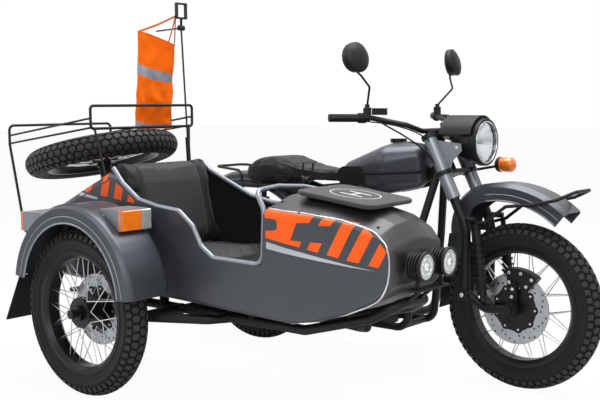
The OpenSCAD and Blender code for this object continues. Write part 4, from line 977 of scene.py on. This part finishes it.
def noseTop(x):
    # a margin under the deck's edge, which falls away towards the nose
    return 790 - 0.13 * (x - 1176) - max(0, x - 1330) ** 1.6 * 0.042


def noseFoot(x):
    return 677 - 0.195 * (x - 1125)


noseBars = [
    leaning(1252, 1298, noseFoot, noseTop), leaning(1332, 1377, noseFoot, noseTop),
    leaning(1413, 1450, noseFoot, noseTop),
    leaning(1172, 1216, lambda x: 758, noseTop), leaning(1170, 1215, noseFoot, lambda x: 697)]
noseBlock = [
    (975, 804), (1176, 789), (1166, 766), (1114, 763), (1089, 700), (1133, 698), (1125, 677),
    (980, 701), (980, 727), (1020, 730), (1032, 738), (1032, 764), (1021, 771), (977, 773)]
meshPiece(
    "noseStripes", *filmOn(tubTree, noseBars + [noseBlock]), "chassis", "castVinylOrange",
    "body_paint", smooth=False)
sillWedge = [(982, 687), (982, 662), (1192, 634), (1399, 609), (1192, 648)]
meshPiece(
    "noseWedge", *filmOn(tubTree, [sillWedge]), "chassis", "castVinylSilver", "body_paint", smooth=False)


def trunkFoot(x):
    return 818 - 0.1 * (x + 63)


def trunkTop(x):
    # stays under the cockpit's rail
    return min(908, 905 - 0.62 * (x - 95))


trunkBars = [
    [(-247, 852), (-70, 897), (-32, 896), (-62, 824)],
    leaning(-44, 5, trunkFoot, trunkTop, 0.3, 860), leaning(70, 118, trunkFoot, trunkTop, 0.3, 860),
    leaning(158, 208, trunkFoot, trunkTop, 0.3, 860), leaning(246, 290, trunkFoot, trunkTop, 0.3, 860)]
trunkWedge = [(-258, 839), (-292, 816), (35, 787), (35, 796)]
rimSlope = Vector((447, 0, 192)).normalized()
rimUp = Vector((-rimSlope.z, 0, rimSlope.x))
aboveRim = (at(112, 0, 874.5), rimUp)
belowRim = (at(112, 0, 869.5), -rimUp)
for word, outlines, finish in (
        ("Stripes", trunkBars, "castVinylOrange"), ("Wedge", [trunkWedge], "castVinylSilver")):
    meshPiece(
        "lid" + word, *filmOn(lidTree, outlines, aboveRim), "lid", finish, "body_paint", smooth=False)
    meshPiece(
        "trunk" + word, *filmOn(tubTree, outlines, belowRim), "chassis", finish, "body_paint",
        smooth=False)
print("sidecar outfit: stripes")

# bright bead round the nose panel
bead = dict(
    radius=3.2, line=[
        (972, 806), (1060, 800), (1138, 795), (1210, 787), (1268, 779), (1330, 765), (1392, 741),
        (1424, 715), (1440, 690), (1448, 650), (1447, 600), (1438, 555), (1412, 512), (1372, 485),
        (1330, 464), (1235, 425), (1150, 403), (1067, 393)])


def beadLine(tree, line, lift):
    spots = []
    for p in easedLine([(x, 0, z) for x, z in line], 6):
        start = at(p.x, -1400, p.z)
        hit, normal, _, _ = tree.ray_cast(start, Vector((0, 1, 0)), 0.9)
        if hit is not None:
            spots.append(hit - Vector((0, lift * mm, 0)))
    return spots


meshPiece(
    "noseBead", *tubeShape(beadLine(tubTree, bead["line"], 0.6), bead["radius"] * mm, 8), "chassis",
    "polishedTrim", "bar_metal")

# snap studs on the deck's edge, for a cover
studs = dict(across=11, high=4, places=[
    (985, -1012), (985, -955), (985, -700), (985, -600), (1040, -1015), (1110, -1010), (1180, -992),
    (1250, -975), (1320, -948), (1385, -915)])
shapes = []
for x, y in studs["places"]:
    hit, normal, _, _ = tubTree.ray_cast(at(x, y, 1000), Vector((0, 0, -1)))
    if hit is not None and hit.z > 0.6:
        r = studs["across"] / 2
        profile = [(r, -0.5), (r, 1.2), (r * 0.8, 2.6), (r * 0.45, 3.6), (0.01, studs["high"])]
        shapes.append(turned(profile, facing(hit, normal), 14))
meshPiece("snapStuds", *joined(shapes), "chassis", "mouldedBlackAbs", "black_plastic")
print("sidecar outfit: bead and studs")

# headlamp: profiles are (radius, along) in mm from the glass
lamp = dict(centre=(1290, 0, 1018), deep=56, neck=12, reach=87, bulb=9, rim=98)
lampSpot = facing(at(*lamp["centre"]), (1, 0, 0))
turnSpot = facing(at(1290, 180, 915), (1, 0, 0))
bowl = []
for k in range(13):
    r = lamp["neck"] + (lamp["reach"] - lamp["neck"]) * k / 12
    bowl.append((r, -lamp["deep"] + (lamp["deep"] - 14) * (r / lamp["reach"]) ** 2))
bowl += [(r + 0.2, z - 1.2) for r, z in reversed(bowl)]
rim, bulb = lamp["rim"], lamp["bulb"]
# name: (profile, spot, steps round, closed profile, finish, slot)
forkLamps = {
    "headlampBowl": (bowl, lampSpot, 64, True, "metallisedReflector", "lamp_glass"),
    "headlampBulb": (
        [(0.01, -18), (5, -19), (bulb, -24), (bulb, -44), (7, -50), (12, -55), (12, -58)],
        lampSpot, 24, False, "flutedPaleLens", "lamp_glass"),
    "headlampRim": (
        [(rim - 10, 0), (rim - 8, 4), (rim - 3, 6), (rim + 1, 3), (rim + 1.6, -4), (rim + 1.6, -20),
         (rim + 0.4, -24), (rim + 0.4, 0)], lampSpot, 64, True, "mouldedBlackAbs", "black_plastic"),
    "headlampRing": (
        [(84, 0.5), (84.6, 4.6), (87, 6.2), (89.4, 4.6), (90, 0.5)],
        lampSpot, 64, True, "polishedTrim", "bar_metal"),
    # front turn lamp: domed lens in front, dark shell behind
    "turnLampLens": (
        [(31.7, -27), (32.6, -26), (32.6, 20), (31, 28), (26, 35), (17, 39.5), (7, 41.4), (0.01, 41.6)],
        turnSpot, 40, False, "flutedAmberLens", "signal_plastic"),
    "turnLampShell": (
        [(33.2, -22), (33.6, -31), (30, -40), (21, -47), (9, -50), (0.01, -50.4)],
        turnSpot, 40, False, "mouldedBlackAbs", "black_plastic"),
}
for name, (profile, spot, steps, closed, finish, slot) in forkLamps.items():
    meshPiece(name, *turned(profile, spot, steps, closed), "fork", finish, slot)

# driving lamps on the sidecar's nose
drivingLamps = dict(x=1550, z=627, right=-82, left=66)
shapes, bulbs = [], []
for side in ("right", "left"):
    spot = facing(at(drivingLamps["x"], tubMiddle + drivingLamps[side], drivingLamps["z"]), (1, 0, 0))
    shapes.append(turned(
        [(44, 0), (45, 3), (49, 4.5), (53, 2), (53.6, -8), (50, -9), (50, 0)], spot, 48, closed=True))
    bulbs.append(turned([(0.01, 5.5), (9, 4.8), (13, 2.4), (14, 0)], spot, 24))
    bulbs.append(turned([(27, 0), (28, 1.6), (30, 1.6), (31, 0)], spot, 48))
meshPiece("drivingLampBezels", *joined(shapes), "chassis", "mouldedBlackAbs", "black_plastic")
meshPiece("drivingLampOptics", *joined(bulbs), "chassis", "metallisedReflector", "lamp_glass")


def roundedPanel(spot, wide, tall, corner, deep, steps=5):
    # a low pillow with rounded corners; Z of the matrix looks out of it
    outline = []
    for quarter, (sx, sy) in enumerate(((1, 1), (-1, 1), (-1, -1), (1, -1))):
        for k in range(steps + 1):
            turn = math.radians(90 * quarter + 90 * k / steps)
            outline.append((
                sx * (wide / 2 - corner) + corner * math.cos(turn),
                sy * (tall / 2 - corner) + corner * math.sin(turn)))
    rows = [(1.0, 0), (1.0, deep * 0.55), (0.97, deep * 0.85), (0.90, deep), (0.0, deep * 1.04)]
    points = [spot @ Vector((x * s * mm, y * s * mm, z * mm)) for s, z in rows for x, y in outline]
    n = len(outline)
    faces = [
        (r * n + k, r * n + (k + 1) % n, (r + 1) * n + (k + 1) % n, (r + 1) * n + k)
        for r in range(len(rows) - 1) for k in range(n)]
    faces.append(tuple(reversed(range(n))))
    return points, faces


# lenses of the fender lamps, a little larger than the blocks that they cover
lenses = {
    "fenderLampAmber": ("flutedAmberLens", [((400.3, -1191, 738.5), (1, 0, 0), 99, 22.5),
                                            ((-215.3, -1166, 696.5), (-1, 0, 0), 150, 20.5)]),
    "fenderLampClear": ("flutedPaleLens", [((400.3, -1116.5, 738.5), (1, 0, 0), 51, 22.5)]),
}
for name, (finish, rows) in lenses.items():
    meshPiece(
        name, *joined([
            roundedPanel(facing(at(*spot), direction), wide, 81, 3, deep)
            for spot, direction, wide, deep in rows]),
        "chassis", finish, "signal_plastic", smooth=False)

# dial: ring, face, ticks and needle
dial = dict(
    centre=(1116, 0, 1078), tilt=-28, ticks=25, first=-210, apart=10, long=20, short=24, rim=27.5,
    lift=30.9, needleLift=31.2)
dialSpot = Matrix.Translation(at(*dial["centre"])) @ Matrix.Rotation(math.radians(dial["tilt"]), 4, "Y")
meshPiece(
    "dialRing", *turned(
        [(30, 30.2), (31, 33), (34, 33), (35.4, 30), (35.4, 24), (34.6, 24), (34.6, 30.2)],
        dialSpot, 40, closed=True), "fork", "drawnStainlessSteel", "bar_metal")
meshPiece(
    "dialFace", *turned([(30.5, 30.1), (30.5, 30.8), (0.01, 30.8)], dialSpot, 40), "fork",
    "printedDial", "black_plastic")
ticks = []
for k in range(dial["ticks"]):
    turn = math.radians(dial["first"] + dial["apart"] * k)
    near = dial["long"] if k % 4 == 0 else dial["short"]
    ticks.append(tubeShape([
        dialSpot @ Vector((r * math.cos(turn) * mm, r * math.sin(turn) * mm, dial["lift"] * mm))
        for r in (near, dial["rim"])], 0.5 * mm, 4))
needle = [dialSpot @ Vector((x * mm, y * mm, dial["needleLift"] * mm)) for x, y in ((0, 0), (-12, -16))]
ticks.append(tubeShape(needle, 0.8 * mm, 4))
meshPiece("dialTicks", *joined(ticks), "fork", "mouldedBlackAbs", "black_plastic", smooth=False)

mirror = dict(x=890, y=380, z=1372, turnIn=12, lean=84, drawn=0.8)
glasses, rims, shells = [], [], []
# the shell's crown is drawn down towards the stem
drawn = Matrix((
    (1, 0, mirror["drawn"], -12 * mirror["drawn"] * mm), (0, 1, 0, 0), (0, 0, 1, 0), (0, 0, 0, 1)))
for side in (-1, 1):
    tilt = Matrix.Translation(at(mirror["x"], side * mirror["y"], mirror["z"])) @ Matrix.Rotation(
        math.radians(side * mirror["turnIn"]), 4, "Z") @ Matrix.Rotation(
            math.radians(mirror["lean"]), 4, "Y")
    back = tilt @ Matrix.Rotation(math.pi, 4, "X")
    # the glass is on the wide face, and looks back at the rider
    glasses.append(turned([(56, 11.1), (55, 11.9), (0.01, 12.1)], back, 48))
    rims.append(turned([(56, 10.6), (57.5, 13.4), (60.5, 12.6), (61.4, 8), (60, 8)], back, 48, closed=True))
    shells.append(turned([(56, -12), (61.4, -11), (62.4, 0), (61.6, 12)], tilt, 48))
    shells.append(turned(
        [(61.6, 12), (57, 22), (46, 31), (30, 37), (12, 40), (0.01, 40.5)], tilt @ drawn, 48))
meshPiece("mirrorShells", *joined(shells), "fork", "mouldedBlackAbs", "black_plastic")
meshPiece("mirrorGlasses", *joined(glasses), "fork", "silveredMirror", "bar_metal")
meshPiece("mirrorRims", *joined(rims), "fork", "mouldedBlackAbs", "black_plastic")
print("sidecar outfit: lamps, dial and mirrors")

# fender edges: rolled wire at the lip and a swage under the shoulder
fenders = {
    "sidecarFenderBeads": dict(
        body="chassis", centre=(150, -1190, 421), radius=372, half=107, drop=78, arc=(5, 170)),
    "rearFenderBeads": dict(
        body="chassis", centre=(0, 0, 345), radius=510, half=90, drop=66, arc=(50, 185)),
    "frontFenderBeads": dict(
        body="fork", centre=(1400, 0, 405), radius=450, half=78, drop=74, arc=(51, 100)),
}
beadSteps = 60
for name, look in fenders.items():
    shapes = []
    cx, cy, cz = look["centre"]
    for side in (-1, 1):
        for drop, radius, inset in ((look["drop"] - 3, 4.2, 1.6), (look["drop"] * 0.62, 2.2, 0.4)):
            line = []
            first, last = look["arc"]
            for k in range(beadSteps + 1):
                turn = math.radians(first + (last - first) * k / beadSteps)
                r = look["radius"] - drop
                line.append(at(
                    cx + r * math.cos(turn), cy + side * (look["half"] - inset), cz + r * math.sin(turn)))
            shapes.append(tubeShape(line, radius * mm, 8))
    # the beads take the pale silver enamel: a painted highlight along the fenders' rolled edges and swages
    meshPiece(name, *joined(shapes), look["body"], "satinEnamelSilver", "body_paint")
print("sidecar outfit: fender edges")

# tank: rubber spine, a rib forward from each knee pad, and the ribs of the pads
tankRib = dict(first=730, step=15.5, points=19, foot=872, rise=0.05, radius=6)
tankSpine = dict(first=640, step=16, points=25, neck=1012, radius=24)
kneeRibs = dict(first=640, apart=18, count=7, foot=829, step=6.6, points=11, radius=2.2)
tankTree = treeOf("fuel_tank")
shapes = []
for side in (-1, 1):
    line = []
    for k in range(tankRib["points"]):
        ahead = tankRib["step"] * k
        spot = at(tankRib["first"] + ahead, side * 400, tankRib["foot"] + tankRib["rise"] * ahead)
        hit, normal, _, _ = tankTree.ray_cast(spot, Vector((0, -side, 0)))
        if hit is not None:
            line.append(hit + normal * 1.2 * mm)
    shapes.append(tubeShape(line, tankRib["radius"] * mm, 8, flat=0.45, up=(0, side, 0)))
line = []
for k in range(tankSpine["points"]):
    spot = at(tankSpine["first"] + tankSpine["step"] * k, 0, 1200)
    hit, normal, _, _ = tankTree.ray_cast(spot, Vector((0, 0, -1)))
    # the spine stops at the filler's neck
    if hit is not None and hit.z / mm < tankSpine["neck"]:
        line.append(hit + normal * 0.5 * mm)
shapes.append(tubeShape(line, tankSpine["radius"] * mm, 12, flat=0.14, up=(0, 0, 1)))
meshPiece("tankRubbers", *joined(shapes), "chassis", "mouldedSoftRubber", "black_rubber")
ribs = []
kneeTree = treeOf("knee_pads")
for side in (-1, 1):
    for k in range(kneeRibs["count"]):
        line = []
        for j in range(kneeRibs["points"]):
            spot = at(
                kneeRibs["first"] + kneeRibs["apart"] * k, side * 400,
                kneeRibs["foot"] + kneeRibs["step"] * j)
            hit, normal, _, _ = kneeTree.ray_cast(spot, Vector((0, -side, 0)))
            if hit is not None:
                line.append(hit + normal * 0.4 * mm)
        if len(line) > 3:
            ribs.append(tubeShape(line, kneeRibs["radius"] * mm, 6))
meshPiece("kneePadRibs", *joined(ribs), "chassis", "mouldedSoftRubber", "black_rubber")
print("sidecar outfit: tank trim")

# brake fluid reservoir beside the right switch block
reservoir = dict(
    barEnd=(779, -405, 1123), barBend=(890, -262, 1121), past=34, lift=13, cup=(62, 42, 9, 24),
    cap=(66, 46, 10, 6), capLift=23)
barAlong = (at(*reservoir["barEnd"]) - at(*reservoir["barBend"])).normalized()
barAhead = Vector((0, 0, 1)).cross(barAlong).normalized() * -1
middle = at(*reservoir["barBend"]) - barAlong * reservoir["past"] * mm + Vector(
    (0, 0, reservoir["lift"] * mm))
cupSpot = Matrix.Translation(middle) @ Matrix(
    (barAlong, barAhead, Vector((0, 0, 1)))).transposed().to_4x4()
capSpot = cupSpot @ Matrix.Translation((0, 0, reservoir["capLift"] * mm))
meshPiece(
    "brakeReservoir", *joined([
        roundedPanel(cupSpot, *reservoir["cup"]), roundedPanel(capSpot, *reservoir["cap"])]),
    "fork", "mouldedBlackAbs", "black_plastic", smooth=False)

# bolts: (place, way it looks, size across, height)
boltRows = {
    "chassisBolts": ("chassis", "drawnStainlessSteel", "bar_metal", [
        # sidecar wheel nut, fender lamp screws and mud flap screws
        ((130, -1255, 345), (0, -1, 0), 30, 16), ((412, -1120, 700), (0, 0, -1), 8, 3),
        ((310, -1240.5, 755), (0, -1, 0), 8, 3)] + [
            ((-208 - 4 * k, -1238 + 48 * k, 470), (-0.88, 0, 0.47), 10, 4) for k in range(3)]),
    "forkBolts": ("fork", "drawnStainlessSteel", "bar_metal", [
        ((1258, -s * 130, 385), (0, -s, 0), 17, 7) for s in (-1, 1)] + [
        ((1208, s * 101.5, 996), (0, s, 0), 14, 5) for s in (-1, 1)]),
}
# bolts of the front calliper and its bracket: angle and distance from the axle, in degrees and mm
linkTree = treeOf("leading_link")
for turn, reach in ((58, 150), (60, 112), (78, 152), (98, 150), (97, 112), (90, 84), (92, 52)):
    spot = (1470 + reach * math.cos(math.radians(turn)), 345 + reach * math.sin(math.radians(turn)))
    hit = linkTree.ray_cast(at(spot[0], -400, spot[1]), Vector((0, 1, 0)))[0]
    if hit is not None:
        boltRows["forkBolts"][3].append((
            ((hit.x - originX) / mm, (hit.y - originY) / mm, hit.z / mm), (0, -1, 0), 13, 5))
for name, (body, finish, slot, rows) in boltRows.items():
    heads = [hexHead(facing(at(*spot), direction), across, high) for spot, direction, across, high in rows]
    meshPiece(name, *joined(heads), body, finish, slot, smooth=False)

# control cables and the front brake hose, clipped along the fork
runs = {
    "brakeHose": dict(radius=3.6, points=[
        (905, -262, 1118), (950, -232, 1086), (1010, -180, 1040), (1075, -142, 985), (1130, -128, 920),
        (1180, -122, 840), (1225, -122, 750), (1262, -120, 660), (1290, -118, 560), (1330, -112, 480),
        (1385, -104, 430)]),
    # the two cables end at the fork tubes, clear of the tank at full lock
    "clutchCable": dict(radius=2.8, points=[
        (905, 262, 1118), (960, 232, 1104), (1022, 190, 1084), (1080, 146, 1050), (1118, 116, 1005),
        (1132, 96, 960)]),
    "throttleCable": dict(radius=2.8, points=[
        (888, -268, 1104), (930, -250, 1100), (995, -206, 1084), (1062, -156, 1052), (1106, -120, 1005),
        (1124, -98, 960)]),
}
for name, look in runs.items():
    line = easedLine([at(*p) for p in look["points"]], 8)
    meshPiece(name, *tubeShape(line, look["radius"] * mm, 8), "fork", "mouldedSoftRubber", "black_rubber")
print("sidecar outfit: bolts and cables")

# floor, light and camera, in metres
stage = dict(half=40, paperShare=0.95, worldLevel=0.34)
floorMesh = bpy.data.meshes.new("studioFloor")
floorMesh.from_pydata(
    [(x * stage["half"], y * stage["half"], 0) for x, y in ((-1, -1), (1, -1), (1, 1), (-1, 1))],
    [], [(0, 1, 2, 3)])
floor = bpy.data.objects.new("studioFloor", floorMesh)
scene.collection.objects.link(floor)
floorPaint = bpy.data.materials.new("mattPaperFloor")
floorPaint.use_nodes = True
tree = floorPaint.node_tree
shader = tree.nodes["Principled BSDF"]
place = addNode(tree, "TexCoord").outputs["Object"]
fibre = addNode(tree, "TexNoise", {"Vector": place, "Scale": 4.0, "Detail": 2.0})
shade = addNode(tree, "MixRGB", {
    "Fac": fibre.outputs["Fac"], "Color1": colour("#f2f2f2"), "Color2": colour("#f6f6f6")})
tree.links.new(shade.outputs["Color"], shader.inputs["Base Color"])
shader.inputs["Roughness"].default_value = 0.6
# the camera sees mostly plain white paper with the object's shadow on it
glow = addNode(tree, "Emission", {"Color": (1, 1, 1, 1), "Strength": 1.0})
path = addNode(tree, "LightPath")
seen = addNode(
    tree, "Math", {0: path.outputs["Is Camera Ray"], 1: stage["paperShare"]}, operation="MULTIPLY")
blend = addNode(tree, "MixShader", {0: seen.outputs[0], 1: shader.outputs[0], 2: glow.outputs[0]})
tree.links.new(blend.outputs[0], tree.nodes["Material Output"].inputs["Surface"])
floorMesh.materials.append(floorPaint)

world = bpy.data.worlds.new("studio")
scene.world = world
world.use_nodes = True
tree = world.node_tree
tree.nodes.clear()
path = addNode(tree, "LightPath")
seen = path.outputs["Is Camera Ray"]
for ray in ("Is Transmission Ray", "Is Glossy Ray"):
    seen = addNode(tree, "Math", {0: seen, 1: path.outputs[ray]}, operation="MAXIMUM").outputs[0]
plain = addNode(tree, "Background", {"Color": (1, 1, 1, 1), "Strength": stage["worldLevel"]})
white = addNode(tree, "Background", {"Color": (1, 1, 1, 1), "Strength": 1.0})
blend = addNode(tree, "MixShader", {0: seen, 1: plain.outputs[0], 2: white.outputs[0]})
addNode(tree, "OutputWorld", {"Surface": blend.outputs[0]})

lights = {
    "keySoftbox": dict(spot=(3.2, -4.2, 3.6), aim=(0, 0, 0.6), size=2.6, power=110),
    "fillSoftbox": dict(spot=(-3.6, -3.0, 2.6), aim=(0, -0.3, 0.5), size=2.6, power=45),
    "topSoftbox": dict(spot=(0.2, 0.4, 4.4), aim=(0, 0, 0.4), size=3.4, power=230),
}
for name, look in lights.items():
    light = bpy.data.lights.new(name, "AREA")
    light.size = look["size"]
    light.energy = look["power"]
    holder = bpy.data.objects.new(name, light)
    scene.collection.objects.link(holder)
    aim = Vector(look["aim"]) - Vector(look["spot"])
    holder.matrix_world = Matrix.Translation(Vector(look["spot"])) @ aim.to_track_quat(
        "-Z", "Y").to_matrix().to_4x4()

view = dict(spot=(2.7445, -3.2922, 1.1792), pan=39.693, tilt=84.539, roll=-0.348, lens=59.82)
eye = bpy.data.cameras.new("viewCamera")
eye.lens = view["lens"]
eye.sensor_width = 36
camera = bpy.data.objects.new("viewCamera", eye)
scene.collection.objects.link(camera)
spot = Matrix.Translation(Vector(view["spot"]))
for key, axis in (("pan", "Z"), ("tilt", "X"), ("roll", "Z")):
    spot = spot @ Matrix.Rotation(math.radians(view[key]), 4, axis)
camera.matrix_world = spot
scene.camera = camera
scene.view_settings.view_transform = "Standard"
print("sidecar outfit: stage")

bpy.context.view_layer.update()
